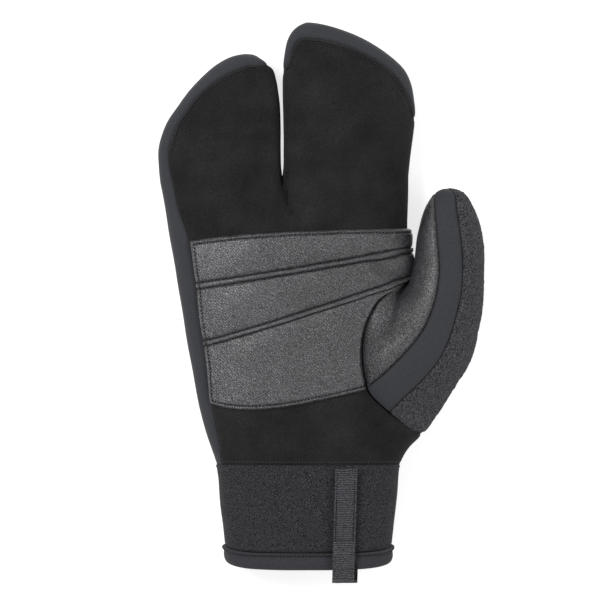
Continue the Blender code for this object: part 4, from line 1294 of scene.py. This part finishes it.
def sewn_round(shell, y):
    """A sewn line round a tube, laid on its outer face."""
    outside = cuff_ring(y, OUTSIDE)
    outside = outside[outside[:, 2] > SEWN_FROM]
    split = int(np.linalg.norm(np.diff(outside, axis=0), axis=1).argmax()) + 1
    outside = np.concatenate([outside[split:], outside[:split]])
    surface = BVHTree.FromPolygons(shell[0].tolist(), shell[1])
    line = []
    for point in outside:
        point[1] += drawn_up(y, point[2])
        location, facing, _, _ = surface.find_nearest(Vector(point))
        line.append(np.array(location + facing * THREAD_LIFT))
    return smooth_line(line)


def add_cuff(sewn_lines):
    size = sizes()
    ys = np.linspace(-GAP, -size.cuff_length, CUFF_RINGS)
    down = -ys
    proud = CUFF_PUFF * np.exp(-down / CUFF_PUFF_REACH) - dip(down, CUFF_TOP_DIP, CUFF_TOP_HALF)
    proud -= dip(down - size.cuff_length, CUFF_END_DIP, CUFF_END_HALF)
    shell = cuff_tube(ys, proud, size.cuff_wall)
    piece = make_object("cuff_cloth", shell[0], shell[1], finish("neoprene"), finish("lining_and_loop_shade"), shell[2])
    dress(piece, "cuff", "neoprene")
    sewn_lines["cuff_stitching"] = [sewn_round(shell, -CUFF_STITCH)]


# The hem's outside: shares of its length down, and how far it stands out in metres
HemRow = namedtuple("HemRow", "down out")
HEM_ROWS = (
    HemRow(0.00, -0.0003),
    HemRow(0.03, 0.0006),
    HemRow(0.08, 0.0010),
    HemRow(0.14, 0.0009),
    HemRow(0.20, 0.0006),
    HemRow(0.25, 0.0004),
    HemRow(0.30, 0.0006),
    HemRow(0.45, 0.0009),
    HemRow(0.75, 0.0008),
    HemRow(0.88, 0.0003),
    HemRow(0.95, -0.0006),
    HemRow(1.00, -0.0018),
)


def add_hem(sewn_lines):
    size = sizes()
    rows = np.array(HEM_ROWS)
    shares = np.linspace(0.0, 1.0, HEM_RINGS)
    proud = spline(rows[:, 0], rows[:, 1], shares)
    ys = -size.cuff_length - GAP - shares * (size.hem_length + HEM_HANG - GAP)
    shell = cuff_tube(ys, proud, size.cuff_wall)
    piece = make_object("hem_band", shell[0], shell[1], finish("hem_tape"), finish("lining_and_loop_shade"), shell[2])
    dress(piece, "cuff_hem", "hem_tape")
    place = -size.cuff_length - (size.hem_length + HEM_HANG) * HEM_STITCH
    sewn_lines["hem_stitching"] = [sewn_round(shell, place)]


def patch_line(left_along, right_along, sag, across):
    """Places in plan along one line across the patch, from its left to its right edge."""
    size = sizes()
    left_hand, right_hand = hand_section(left_along), hand_section(right_along)
    left_x = left_hand.left + left_hand.seam_left + PATCH_EDGE
    right_x = right_hand.right * RIGHT_REACH
    border = hole_border(1)
    if right_hand.along < border[0, 1]:
        order = border[::-1]
        right_x = min(right_x, np.interp(right_hand.along, order[:, 1], order[:, 0]) - MOUND_LAP)
    x = left_x + (right_x - left_x) * across
    y = left_hand.along + (right_hand.along - left_hand.along) * across
    return np.stack([x, y - sag * size.hand_length * np.sin(pi * across**SAG_SKEW)], axis=1)


def patch_surface(across, number, share):
    """The plain surface under one line across the patch, with normals."""
    low, high = PATCH_ROWS[number], PATCH_ROWS[number + 1]
    row = [a + (b - a) * share for a, b in zip(low, high)]
    line = patch_line(*row, across)
    x, y = line[:, 0], line[:, 1]

    def height(x, y):
        return palm_heights(x, y) + palm_relief(x, y)

    z = height(x, y)
    slope_x = (height(x + SLOPE_STEP, y) - height(x - SLOPE_STEP, y)) / (2 * SLOPE_STEP)
    slope_y = (height(x, y + SLOPE_STEP) - height(x, y - SLOPE_STEP)) / (2 * SLOPE_STEP)
    slope_x = np.clip(slope_x, -STEEPEST, STEEPEST)
    up = unit_rows(np.stack([-slope_x, -slope_y, np.ones_like(x)], axis=1))
    return np.stack([x, y, z], axis=1), up


def crowded(count, start, end):
    """Even steps from 0 to 1, closer at the chosen ends."""
    t = np.linspace(0.0, 1.0, count + 1)
    if start and end:
        return (1 - END_CROWD) * t + END_CROWD * (1 - np.cos(pi * t)) / 2
    if start:
        return (1 - END_CROWD) * t + END_CROWD * (1 - np.cos(pi / 2 * t))
    if end:
        return (1 - END_CROWD) * t + END_CROWD * np.sin(pi / 2 * t)
    return t


def add_patch(stitch_lines):
    """The leather patch, with its raised bands, rolled edges and sewn dips."""
    size = sizes()
    across = crowded(PATCH_COLUMNS, True, True)
    lines, ups, heights = [], [], []
    for number, steps in enumerate(PATCH_STEPS):
        last = number == len(PATCH_STEPS) - 1
        for share in crowded(steps, number == 0, last)[: None if last else -1]:
            line, up = patch_surface(across, number, share)
            lines.append(line)
            ups.append(up)
            raised = PILLOW * np.sin(pi * share) ** PILLOW_ROUND
            if number in PATCH_BANDS:
                raised = BAND_HEIGHT * ramp(min(share, 1 - share), 0.0, BAND_SHOULDER)
            heights.append(np.full(len(across), size.patch_wall + raised))
    grid, up, height = np.array(lines), np.array(ups), np.array(heights)
    starts = np.concatenate([[0], np.cumsum(PATCH_STEPS)])
    for line in starts[1:-1]:
        away = np.linalg.norm(grid - grid[line], axis=2)
        height -= dip(away, STITCH_DIP, STITCH_HALF)
    from_left = np.linalg.norm(grid - grid[:, :1], axis=2)
    from_low = np.linalg.norm(grid - grid[:1], axis=2)
    from_top = np.linalg.norm(grid - grid[-1:], axis=2)
    edge = np.minimum(np.minimum(from_left, from_low), from_top)
    height -= dip(edge - EDGE_RIM, STITCH_DIP, STITCH_HALF)
    height -= size.patch_wall * PATCH_TURN * (1.0 - ramp(edge, -EDGE_ROUND, EDGE_ROUND * 2))
    from_mound = np.linalg.norm(grid - grid[:, -1:], axis=2)
    below_crotch = (grid[:, -1, 1] < hole_border(1)[0, 1])[:, None]
    height -= np.where(below_crotch, dip(from_mound, size.patch_wall * PATCH_TURN, MOUND_HALF), 0.0)
    top = grid + up * (height + PATCH_LIFT)[..., None]
    under = grid - up * PATCH_UNDERLAP
    faces = sheet_faces(*grid.shape[:2])
    points = np.concatenate([top.reshape(-1, 3), under.reshape(-1, 3)])
    piece = make_object("palm_patch_leather", points, faces, finish("grained_leather"))
    dress(piece, "palm_patch", "grained_leather")
    for line in starts[1:-1]:
        stitch_lines.append(top[line, STITCH_FROM:-1] + up[line, STITCH_FROM:-1] * THREAD_LIFT)
    lifted = top + up * THREAD_LIFT
    stitch_lines.append(edge_line(lifted, from_low, from_left))
    stitch_lines.append(edge_line(lifted[::-1], from_top[::-1], from_left[::-1]))
    turned = lifted.transpose(1, 0, 2)
    stitch_lines.append(edge_line(turned, from_left.T, np.minimum(from_low, from_top).T))


def edge_line(rows, from_edge, from_corner):
    """The sewn line just inside the patch's edge, along the grid's rows."""
    line = []
    for j in range(rows.shape[1] - 1):
        if from_corner[0, j] >= EDGE_RIM:
            half = slice(0, rows.shape[0] // 3)
            line.append([np.interp(EDGE_RIM, from_edge[half, j], rows[half, j, k]) for k in range(3)])
    return np.array(line)


def loop_path():
    """The webbing's middle line from its sewn top, down, round the fold and back: how far down the
    cuff and how high over it, and the side that faces out."""
    size = sizes()
    hem_end = size.cuff_length + size.hem_length
    fold = hem_end + LOOP_DROP + LOOP_HANG - WEBBING - LOOP_EYE / 2
    downs = np.linspace(LOOP_START, fold, LOOP_SAMPLES)
    low = LOOP_LIFT + LOOP_PROUD * ramp(downs, size.cuff_length - LOOP_RISE, size.cuff_length)
    slit = LOOP_SLIT + (LOOP_EYE - LOOP_SLIT) * ramp(downs, hem_end, fold)
    under = np.stack([downs, low + WEBBING / 2], axis=1)
    over = np.stack([downs, low + WEBBING * 1.5 + slit], axis=1)
    radius = (over[-1, 1] - under[-1, 1]) / 2
    turn = np.linspace(-pi / 2, pi / 2, FOLD_SAMPLES)[1:-1]
    middle = (over[-1, 1] + under[-1, 1]) / 2
    fold_points = np.stack([fold + radius * np.cos(turn), middle + radius * np.sin(turn)], axis=1)
    path = np.concatenate([under, fold_points, over[::-1]])
    return np.concatenate([path, np.zeros((len(path), 1))], axis=1)


def add_loop(stitch_lines):
    """Webbing folded double: down over the cuff and hem, round the fold and back up on top."""
    size = sizes()
    path = loop_path()
    total = lengths_along(path)[-1]
    count = int(total / RIB_PITCH) * RIB_STEPS
    path = path_point(path, np.linspace(0.0, 1.0, count + 1))
    run = unit_rows(np.gradient(path, axis=0))
    out = np.stack([run[:, 1], -run[:, 0], run[:, 2]], axis=1)
    hem_end = size.cuff_length + size.hem_length
    centre_x = (LOOP_LOW.x + LOOP_HIGH.x) / 2 - ORIGIN[0]
    columns = np.linspace(-0.5, 0.5, LOOP_COLUMNS + 1)
    along = np.linspace(0.0, total, count + 1)
    threads = np.stack(np.broadcast_arrays(along[:, None], size.loop_width * columns, 0.0), axis=2)
    turns = np.arange(count + 1)[:, None] * pi / RIB_STEPS + RIB_WANDER * waves(threads, RIB_WAVE)
    ribs = np.abs(np.sin(turns))
    slants = LOOP_SLANT * (0.5 - path[:, 0] / (hem_end + LOOP_DROP))
    under = np.arange(count + 1) < count // 2
    slants += np.where(under, LOOP_SKEW * ramp(path[:, 0], hem_end - LOOP_DROP, hem_end + LOOP_HANG), 0.0)

    def side(away):
        """One face of the webbing, away from its middle line."""
        down = path[:, :1] + out[:, :1] * away
        above = path[:, 1:2] + out[:, 1:2] * away
        x = np.broadcast_to(centre_x + slants[:, None] + size.loop_width * columns, down.shape)
        ground = [[cuff_height(*place) for place in zip(*row)] for row in zip(x, -np.minimum(down, hem_end))]
        droop = LOOP_DROOP * np.maximum(down - hem_end, 0.0) / LOOP_DROP
        return np.stack([x, -down, np.array(ground) + above - droop], axis=2)

    outer, inner = side(WEBBING / 2 + RIB_HEIGHT * ribs), side(-WEBBING / 2 - RIB_HEIGHT * ribs)
    rows, width = outer.shape[:2]
    faces = sheet_faces(rows, width)
    points = np.concatenate([outer.reshape(-1, 3), inner.reshape(-1, 3)])
    piece = make_object("pull_loop_webbing", points, faces, finish("webbing"))
    # The rib values carry painted shade: darker in the grooves between the ribs and lighter on their crests
    painted_rib_shade = piece.data.attributes.new("painted_rib_shade", "FLOAT", "POINT")
    painted_rib_shade.data.foreach_set("value", np.tile(ribs.ravel(), 2))
    # The whole under layer of the loop takes the dark lining material as painted shade, for the shadow it
    # lies in under the upper layer
    piece.data.materials.append(finish("lining_and_loop_shade"))
    last_under = width * (count // 2)
    for face in piece.data.polygons:
        face.material_index = int(max(i % (rows * width) for i in face.vertices) < last_under)
    dress(piece, "pull_loop", "webbing")
    on_top = np.arange(rows) > rows // 2
    sewn = on_top & (path[:, 0] < size.cuff_length - SEWN_STOP) & (path[:, 0] > LOOP_START + SEWN_START)
    front = outer[sewn] + (0.0, 0.0, THREAD_LIFT)
    for column in (LOOP_ROW, -LOOP_ROW - 1):
        stitch_lines.append(front[:, column])
    for row in (0, -1):
        stitch_lines.append(front[row, LOOP_ROW:-LOOP_ROW])


def stitch_tree():
    """Short round-ended stitches along sewn lines, one each pitch, turned to the lines' run."""
    tree = bpy.data.node_groups.new("Stitches", "GeometryNodeTree")
    nodes, link = tree.nodes, tree.links.new
    sockets = {
        "Geometry": "Geometry",
        "Pitch": "Float",
        "Length": "Float",
        "Radius": "Float",
        "Material": "Material",
    }
    for label, kind in sockets.items():
        tree.interface.new_socket(label, in_out="INPUT", socket_type="NodeSocket" + kind)
    tree.interface.new_socket("Geometry", in_out="OUTPUT", socket_type="NodeSocketGeometry")
    given, result = nodes.new("NodeGroupInput"), nodes.new("NodeGroupOutput")

    curve = nodes.new("GeometryNodeMeshToCurve")
    link(given.outputs["Geometry"], curve.inputs["Mesh"])
    resample = nodes.new("GeometryNodeResampleCurve")
    resample.mode = "LENGTH"
    link(curve.outputs["Curve"], resample.inputs["Curve"])
    link(given.outputs["Pitch"], resample.inputs["Length"])
    align = nodes.new("FunctionNodeAlignRotationToVector")
    align.axis = "Z"
    link(nodes.new("GeometryNodeInputTangent").outputs["Tangent"], align.inputs["Vector"])

    ball = nodes.new("GeometryNodeMeshUVSphere")
    ball.inputs["Segments"].default_value = 8
    ball.inputs["Rings"].default_value = 5
    ball.inputs["Radius"].default_value = 1.0
    half = nodes.new("ShaderNodeMath")
    half.operation = "MULTIPLY"
    half.inputs[1].default_value = 0.5
    link(given.outputs["Length"], half.inputs[0])
    scale = nodes.new("ShaderNodeCombineXYZ")
    link(given.outputs["Radius"], scale.inputs["X"])
    link(given.outputs["Radius"], scale.inputs["Y"])
    link(half.outputs["Value"], scale.inputs["Z"])
    stitch = nodes.new("GeometryNodeTransform")
    link(ball.outputs["Mesh"], stitch.inputs["Geometry"])
    link(scale.outputs["Vector"], stitch.inputs["Scale"])

    copies = nodes.new("GeometryNodeInstanceOnPoints")
    link(resample.outputs["Curve"], copies.inputs["Points"])
    link(stitch.outputs["Geometry"], copies.inputs["Instance"])
    link(align.outputs["Rotation"], copies.inputs["Rotation"])
    realize = nodes.new("GeometryNodeRealizeInstances")
    link(copies.outputs["Instances"], realize.inputs["Geometry"])
    smooth = nodes.new("GeometryNodeSetShadeSmooth")
    link(realize.outputs["Geometry"], smooth.inputs["Geometry"])
    set_material = nodes.new("GeometryNodeSetMaterial")
    link(smooth.outputs["Geometry"], set_material.inputs["Geometry"])
    link(given.outputs["Material"], set_material.inputs["Material"])
    link(set_material.outputs["Geometry"], result.inputs["Geometry"])
    return tree


def repeat_along(name, lines, tree, values, material):
    """Runs a tree over paths and keeps its result as a plain mesh."""
    points, edges = [], []
    for line in lines:
        first = len(points)
        points.extend((np.asarray(line) + ORIGIN).tolist())
        edges.extend((i, i + 1) for i in range(first, len(points) - 1))
    mesh = bpy.data.meshes.new(name)
    mesh.from_pydata(points, edges, [])
    made = bpy.data.objects.new(name, mesh)
    bpy.context.scene.collection.objects.link(made)
    modifier = made.modifiers.new("Repeat", "NODES")
    modifier.node_group = tree
    for item in tree.interface.items_tree:
        if item.in_out == "INPUT" and item.name in values:
            modifier[item.identifier] = values[item.name]
        elif item.in_out == "INPUT" and item.name == "Material":
            modifier[item.identifier] = material
    result = bpy.data.meshes.new_from_object(made.evaluated_get(bpy.context.evaluated_depsgraph_get()))
    made.modifiers.remove(modifier)
    made.data = result
    bpy.data.meshes.remove(mesh)
    return made


FINISH_NAMES = {
    "suede": "brushed suede",
    "softshell": "smooth softshell",
    "grained_leather": "pebbled leather",
    "fleece": "curly fleece",
    "neoprene": "knitted neoprene",
    "hem_tape": "hem binding",
    "webbing": "woven webbing",
    "lining_and_loop_shade": "dark lining",
    "thread": "black thread",
    "pale_thread": "slate thread",
}


def finish(slot):
    return bpy.data.materials[FINISH_NAMES[slot]]


class Finish:
    """A material whose nodes are added step by step."""

    def __init__(self, name, colour, roughness, sheen=0.0, specular=0.5):
        self.material = bpy.data.materials.new(FINISH_NAMES[name])
        self.material.use_nodes = True
        self.nodes = self.material.node_tree.nodes
        self.link = self.material.node_tree.links.new
        self.shader = self.nodes["Principled BSDF"]
        self.colour = tuple(colour)
        self.shader.inputs["Base Color"].default_value = (*colour, 1.0)
        self.shader.inputs["Roughness"].default_value = roughness
        self.shader.inputs["Sheen Weight"].default_value = sheen
        self.shader.inputs["Sheen Roughness"].default_value = 0.45
        self.shader.inputs["Specular IOR Level"].default_value = specular
        self.place = self.nodes.new("ShaderNodeTexCoord").outputs["Object"]
        self.height = None

    def mapped(self, scale, turn=0.0):
        """Coordinates turned about Z, then stretched along the turned axes."""
        node = self.nodes.new("ShaderNodeMapping")
        node.vector_type = "TEXTURE"
        node.inputs["Rotation"].default_value = (0.0, 0.0, turn)
        node.inputs["Scale"].default_value = scale
        self.link(self.place, node.inputs["Vector"])
        return node.outputs["Vector"]

    def noise(self, scale, detail, vector=None):
        node = self.nodes.new("ShaderNodeTexNoise")
        node.inputs["Scale"].default_value = scale
        node.inputs["Detail"].default_value = detail
        node.inputs["Roughness"].default_value = 0.6
        self.link(vector or self.place, node.inputs["Vector"])
        return node.outputs["Fac"]

    def rows(self, pitch, turn, scatter):
        """Wavy, broken rows whose run is square to the turned direction."""
        node = self.nodes.new("ShaderNodeTexWave")
        node.inputs["Scale"].default_value = 2.0 * pi / (WAVE_TEXTURE_RATE * pitch)
        node.inputs["Distortion"].default_value = scatter
        node.inputs["Detail"].default_value = 1.0
        node.inputs["Detail Scale"].default_value = 4.0
        self.link(self.mapped((1.0, 1.0, 1.0), turn), node.inputs["Vector"])
        return node.outputs["Fac"]

    def ramp(self, value, low, high, start=0.0, end=1.0):
        node = self.nodes.new("ShaderNodeMapRange")
        node.inputs["From Min"].default_value = low
        node.inputs["From Max"].default_value = high
        node.inputs["To Min"].default_value = start
        node.inputs["To Max"].default_value = end
        self.link(value, node.inputs["Value"])
        return node.outputs["Result"]

    def math(self, operation, first, second):
        node = self.nodes.new("ShaderNodeMath")
        node.operation = operation
        for socket, value in zip(node.inputs, (first, second)):
            if isinstance(value, (int, float)):
                socket.default_value = value
            else:
                self.link(value, socket)
        return node.outputs["Value"]

    def across(self):
        """How far across the glove a place lies, towards the thumb."""
        node = self.nodes.new("ShaderNodeSeparateXYZ")
        self.link(self.place, node.inputs["Vector"])
        return node.outputs["X"]

    def attribute(self, name):
        node = self.nodes.new("ShaderNodeAttribute")
        node.attribute_name = name
        return node.outputs["Fac"]

    def tint(self, factor):
        """Multiplies the colour by a factor."""
        node = self.nodes.new("ShaderNodeVectorMath")
        node.operation = "SCALE"
        node.inputs[0].default_value = self.colour
        self.link(factor, node.inputs["Scale"])
        self.link(node.outputs["Vector"], self.shader.inputs["Base Color"])

    def bump(self, height, depth):
        node = self.nodes.new("ShaderNodeBump")
        node.inputs["Strength"].default_value = 1.0
        node.inputs["Distance"].default_value = depth
        self.link(height, node.inputs["Height"])
        if self.height is not None:
            self.link(self.height, node.inputs["Normal"])
        self.height = node.outputs["Normal"]
        self.link(self.height, self.shader.inputs["Normal"])


def leather_finish(colours):
    made = Finish("grained_leather", colours.leather, 0.36, sheen=0.0, specular=0.7)
    grain = made.rows(GRAIN_PITCH, radians(45), 6.0)
    broken = made.ramp(made.noise(1500.0, 0.0), 0.35, 0.65, 0.65, 1.35)
    creased = made.noise(70.0, 4.0)
    sheen_patches = made.noise(34.0, 2.0)
    # Strong light and dark along the grain rows: the pebble grain itself, together with painted glints on its
    # pebbles
    grain_and_glints = made.math("MULTIPLY", broken, made.ramp(grain, 0.10, 0.90, 0.05, 1.95))
    # Painted sheen: lighter towards the glove's left side, darker towards the middle, and in broad soft
    # patches
    painted_side_sheen = made.ramp(made.across(), -0.055, 0.000, 1.14, 0.84)
    soft = made.math("MULTIPLY", painted_side_sheen, made.ramp(sheen_patches, 0.35, 0.65, 0.84, 1.16))
    made.tint(made.math("MULTIPLY", grain_and_glints, soft))
    made.bump(creased, 0.0010)
    made.bump(grain, 0.00012)


def suede_finish(colours):
    made = Finish("suede", colours.suede, 0.95, sheen=0.04, specular=0.10)
    nap = made.noise(2400.0, 1.0)
    brushed = made.noise(38.0, 4.0)
    near = made.ramp(nap, 0.3, 0.75, 0.55, 1.75)
    broad = made.ramp(brushed, 0.3, 0.7, 0.65, 1.45)
    shade = made.math("MULTIPLY", near, broad)
    # Painted highlight on the sewn roll and painted shade in the stitch dip, put into the suede's colour
    rolled = made.ramp(made.attribute("roll"), -1.0, 1.0, 0.30, 1.70)
    made.tint(made.math("MULTIPLY", shade, rolled))
    made.bump(nap, 0.00030)


def softshell_finish(colours):
    made = Finish("softshell", colours.softshell, 0.85, sheen=0.06, specular=0.20)
    weave = made.noise(1500.0, 2.0)
    made.tint(made.ramp(weave, 0.3, 0.7, 0.82, 1.18))
    made.bump(weave, 0.00016)


def fleece_finish(colours):
    made = Finish("fleece", colours.fleece, 0.97, sheen=0.10, specular=0.08)
    curls = made.noise(1300.0, 2.0)
    fibres = made.noise(2600.0, 2.0)
    broad = made.ramp(curls, 0.35, 0.65, 0.20, 1.75)
    near = made.ramp(fibres, 0.3, 0.7, 0.75, 1.25)
    made.tint(made.math("MULTIPLY", broad, near))
    made.bump(curls, 0.0007)
    made.bump(fibres, 0.0002)


def knit_finish(name, colour, speck):
    made = Finish(name, colour, 0.9, sheen=0.05, specular=0.15)
    knit = made.noise(3600.0, 0.0)
    made.tint(made.ramp(knit, 0.42, 0.58, 1.0 - speck, 1.0 + speck))
    made.bump(knit, 0.00022)


def plain_finish(name, colour, roughness):
    made = Finish(name, colour, roughness, sheen=0.03, specular=0.25)
    thread = made.noise(2500.0, 2.0)
    made.tint(made.ramp(thread, 0.3, 0.7, 0.7, 1.3))
    made.bump(thread, 0.00010)


def webbing_finish(colours):
    made = Finish("webbing", colours.webbing, 0.65, sheen=0.05, specular=0.3)
    threads = made.mapped((0.8, 0.6, 1.0))
    weave = made.noise(1300.0, 2.0, threads)
    # Painted shade in the grooves between the ribs and painted light on their crests
    ribs = made.ramp(made.attribute("painted_rib_shade"), 0.0, 1.0, 0.30, 1.35)
    made.tint(made.math("MULTIPLY", ribs, made.ramp(weave, 0.35, 0.65, 0.20, 1.80)))
    made.bump(weave, 0.00025)


def make_finishes(colours):
    leather_finish(colours)
    suede_finish(colours)
    softshell_finish(colours)
    fleece_finish(colours)
    knit_finish("neoprene", colours.neoprene, 1.0)
    knit_finish("hem_tape", colours.hem, 0.25)
    # The panels' lining, which also serves as painted shade on the pull loop's under layer
    knit_finish("lining_and_loop_shade", colours.suede, 0.3)
    webbing_finish(colours)
    plain_finish("thread", colours.thread, 0.6)
    plain_finish("pale_thread", colours.pale_thread, 0.6)


def ordered(border):
    """Border edges as lists of points in order."""
    after = defaultdict(list)
    for a, b in border:
        after[a].append(b)
    lines = []
    while after:
        start = next(iter(after))
        line = [start]
        while line[-1] in after:
            following = after[line[-1]]
            step = following.pop()
            if not following:
                del after[line[-1]]
            line.append(step)
            if step == start:
                break
        lines.append(line)
    return lines


def inset_lines(panel, inset, keep, facing_up=-1.0):
    """Lines on a panel beside its border, where keep is true of the border's places and the panel
    faces up enough."""
    outer, normals, faces, border = panel
    surface = BVHTree.FromPolygons(outer.tolist(), faces)
    lines = []
    for line in ordered(border):
        current = []
        for a, b in zip(line, line[1:]):
            middle = (outer[a] + outer[b]) / 2
            if not keep(middle) or min(normals[a][2], normals[b][2]) < facing_up:
                if len(current) > SHORTEST_LINE:
                    lines.append(smooth_line(current))
                current = []
                continue
            run = outer[b] - outer[a]
            if np.linalg.norm(run) == 0.0:
                continue
            normal = unit(normals[a] + normals[b])
            into = unit(np.cross(normal, run))
            location = surface.find_nearest(Vector(middle + into * inset))[0]
            current.append(np.array(location) + normal * THREAD_LIFT)
        if len(current) > SHORTEST_LINE:
            lines.append(smooth_line(current))
    return lines


def smooth_line(points):
    line = np.array(points)
    for _ in range(LINE_ROUNDS):
        line[1:-1] = (line[:-2] + 2 * line[1:-1] + line[2:]) / 4
    return line


def add_stitching(seams, patch_lines, cuff_lines, loop_lines):
    """All the rows of stitches, by the piece that they are sewn through."""
    size = sizes()
    stitches = bpy.context.scene.glove_stitches
    tree = stitch_tree()
    palm = seams["palm_panel"]
    on_fingers = size.hand_length * ROW_LOW
    fingers = inset_lines(palm, TOPSTITCH, lambda place: place[1] > on_fingers, FINGER_FACING)
    wrist = inset_lines(palm, WRIST_LINE, lambda place: place[1] < WRIST_STRIP, WRIST_FACING)
    rows = {
        "patch_stitching": (patch_lines, 1.0),
        "finger_stitching": (fingers, 0.8),
        "thumb_leather_stitching": (inset_lines(seams["thumb_palm"], SEAM_LINE, lambda place: True), 0.75),
        "thumb_fleece_stitching": (inset_lines(seams["thumb_back"], SEAM_LINE, lambda place: True), 0.75),
        "cuff_stitching": (cuff_lines["cuff_stitching"] + wrist, 0.9),
        "hem_stitching": (cuff_lines["hem_stitching"], 1.06),
        "loop_stitching": (loop_lines, 0.75),
    }
    for name, (lines, scale) in rows.items():
        values = {
            "Pitch": stitches.pitch * scale,
            "Length": stitches.length * scale,
            "Radius": stitches.radius * (HEAVY if name == "hem_stitching" else 1.0),
        }
        thread = finish("pale_thread" if name in ("finger_stitching", "cuff_stitching") else "thread")
        piece = repeat_along(name, lines, tree, values, thread)
        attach(piece, "root")


def add_camera():
    camera = bpy.data.cameras.new("Camera")
    camera.sensor_width = SENSOR
    camera.lens = SENSOR * CAMERA_DISTANCE / FRAME_WIDTH
    made = bpy.data.objects.new("Camera", camera)
    made.location = (*FRAME_CENTRE, FRAME_HEIGHT + CAMERA_DISTANCE)
    bpy.context.scene.collection.objects.link(made)
    bpy.context.scene.camera = made


# place and width in metres, power in watts
LightRow = namedtuple("LightRow", "name place width power")
LIGHT_ROWS = (
    LightRow("key", (-0.46, 0.30, 1.00), 0.35, 8.0),
    LightRow("fill", (0.60, -0.05, 0.75), 0.5, 2.5),
)


def add_light(name, place, width, power):
    """A soft lamp that faces the origin."""
    lamp = bpy.data.lights.new(name, "AREA")
    lamp.size = width
    lamp.energy = power
    made = bpy.data.objects.new(name, lamp)
    made.location = place
    made.rotation_euler = (-Vector(place)).to_track_quat("-Z", "Y").to_euler()
    bpy.context.scene.collection.objects.link(made)


def add_stage(colours):
    mesh = bpy.data.meshes.new("floor")
    corners = [(x * FLOOR_HALF, y * FLOOR_HALF, 0) for x, y in ((-1, -1), (1, -1), (1, 1), (-1, 1))]
    mesh.from_pydata(corners, [], [(0, 1, 2, 3)])
    floor = bpy.data.objects.new("floor", mesh)
    material = bpy.data.materials.new("floor")
    material.use_nodes = True
    shader = material.node_tree.nodes["Principled BSDF"]
    shader.inputs["Base Color"].default_value = (*colours.floor, 1.0)
    shader.inputs["Roughness"].default_value = 0.9
    shader.inputs["Specular IOR Level"].default_value = 0.0
    shader.inputs["Emission Color"].default_value = (1.0, 1.0, 1.0, 1.0)
    shader.inputs["Emission Strength"].default_value = FLOOR_GLOW
    mesh.materials.append(material)
    bpy.context.scene.collection.objects.link(floor)
    world = bpy.data.worlds.new("Studio")
    world.use_nodes = True
    world.node_tree.nodes["Background"].inputs["Color"].default_value = (1.0, 1.0, 1.0, 1.0)
    world.node_tree.nodes["Background"].inputs["Strength"].default_value = SKY_GLOW
    bpy.context.scene.world = world
    for light in LIGHT_ROWS:
        add_light(*light)
    bpy.context.scene.view_settings.view_transform = "Standard"
    add_camera()


SEAMS = {}
PATCH_LINES = []
LOOP_LINES = []
CUFF_LINES = {}


class GLOVE_OT_panels(bpy.types.Operator):
    """Make the palm, back and thumb panels"""

    bl_idname = "glove.panels"
    bl_label = "Panels"

    def execute(self, context):
        loop = add_hand_panels(SEAMS)
        add_thumb_panels(loop, SEAMS)
        return {"FINISHED"}


class GLOVE_OT_patch(bpy.types.Operator):
    """Make the leather patch over the palm"""

    bl_idname = "glove.patch"
    bl_label = "Palm patch"

    def execute(self, context):
        add_patch(PATCH_LINES)
        return {"FINISHED"}


class GLOVE_OT_cuff(bpy.types.Operator):
    """Make the cuff and its hem band"""

    bl_idname = "glove.cuff"
    bl_label = "Cuff and hem"

    def execute(self, context):
        add_cuff(CUFF_LINES)
        add_hem(CUFF_LINES)
        return {"FINISHED"}


class GLOVE_OT_loop(bpy.types.Operator):
    """Make the pull loop"""

    bl_idname = "glove.loop"
    bl_label = "Pull loop"

    def execute(self, context):
        add_loop(LOOP_LINES)
        return {"FINISHED"}


class GLOVE_OT_stitching(bpy.types.Operator):
    """Sew the rows of stitches"""

    bl_idname = "glove.stitching"
    bl_label = "Stitching"

    def execute(self, context):
        if not SEAMS:
            raise RuntimeError("The panels come before the stitching")
        add_stitching(SEAMS, PATCH_LINES, CUFF_LINES, LOOP_LINES)
        return {"FINISHED"}


class GLOVE_OT_finishes(bpy.types.Operator):
    """Make the materials"""

    bl_idname = "glove.finishes"
    bl_label = "Finishes"

    def execute(self, context):
        make_finishes(context.scene.glove_colours)
        return {"FINISHED"}


class GLOVE_OT_stage(bpy.types.Operator):
    """Set up the floor, the lights and the camera"""

    bl_idname = "glove.stage"
    bl_label = "Stage"

    def execute(self, context):
        add_stage(context.scene.glove_colours)
        return {"FINISHED"}


OPERATORS = (
    GLOVE_OT_finishes,
    GLOVE_OT_panels,
    GLOVE_OT_patch,
    GLOVE_OT_cuff,
    GLOVE_OT_loop,
    GLOVE_OT_stitching,
    GLOVE_OT_stage,
)


class GLOVE_PT_build(bpy.types.Panel):
    """Sizes, colours and steps of the glove"""

    bl_idname = "GLOVE_PT_build"
    bl_label = "Winter glove"
    bl_space_type = "VIEW_3D"
    bl_region_type = "UI"
    bl_category = "Glove"

    def draw(self, context):
        for group in ("glove_sizes", "glove_stitches", "glove_colours"):
            values = getattr(context.scene, group)
            box = self.layout.box()
            for name in values.__annotations__:
                box.prop(values, name)
        for operator in OPERATORS:
            self.layout.operator(operator.bl_idname)


GROUPS = {"glove_sizes": GloveSizes, "glove_stitches": GloveStitches, "glove_colours": GloveColours}
CLASSES = (*GROUPS.values(), *OPERATORS, GLOVE_PT_build)


def register():
    for made in CLASSES:
        bpy.utils.register_class(made)
    for name, group in GROUPS.items():
        setattr(bpy.types.Scene, name, PointerProperty(type=group))


def unregister():
    for name in GROUPS:
        delattr(bpy.types.Scene, name)
    for made in reversed(CLASSES):
        bpy.utils.unregister_class(made)


def main():
    register()
    bpy.ops.glove.finishes()
    bpy.ops.glove.panels()
    bpy.ops.glove.patch()
    bpy.ops.glove.cuff()
    bpy.ops.glove.loop()
    bpy.ops.glove.stitching()
    bpy.ops.glove.stage()


if __name__ == "__main__":
    main()
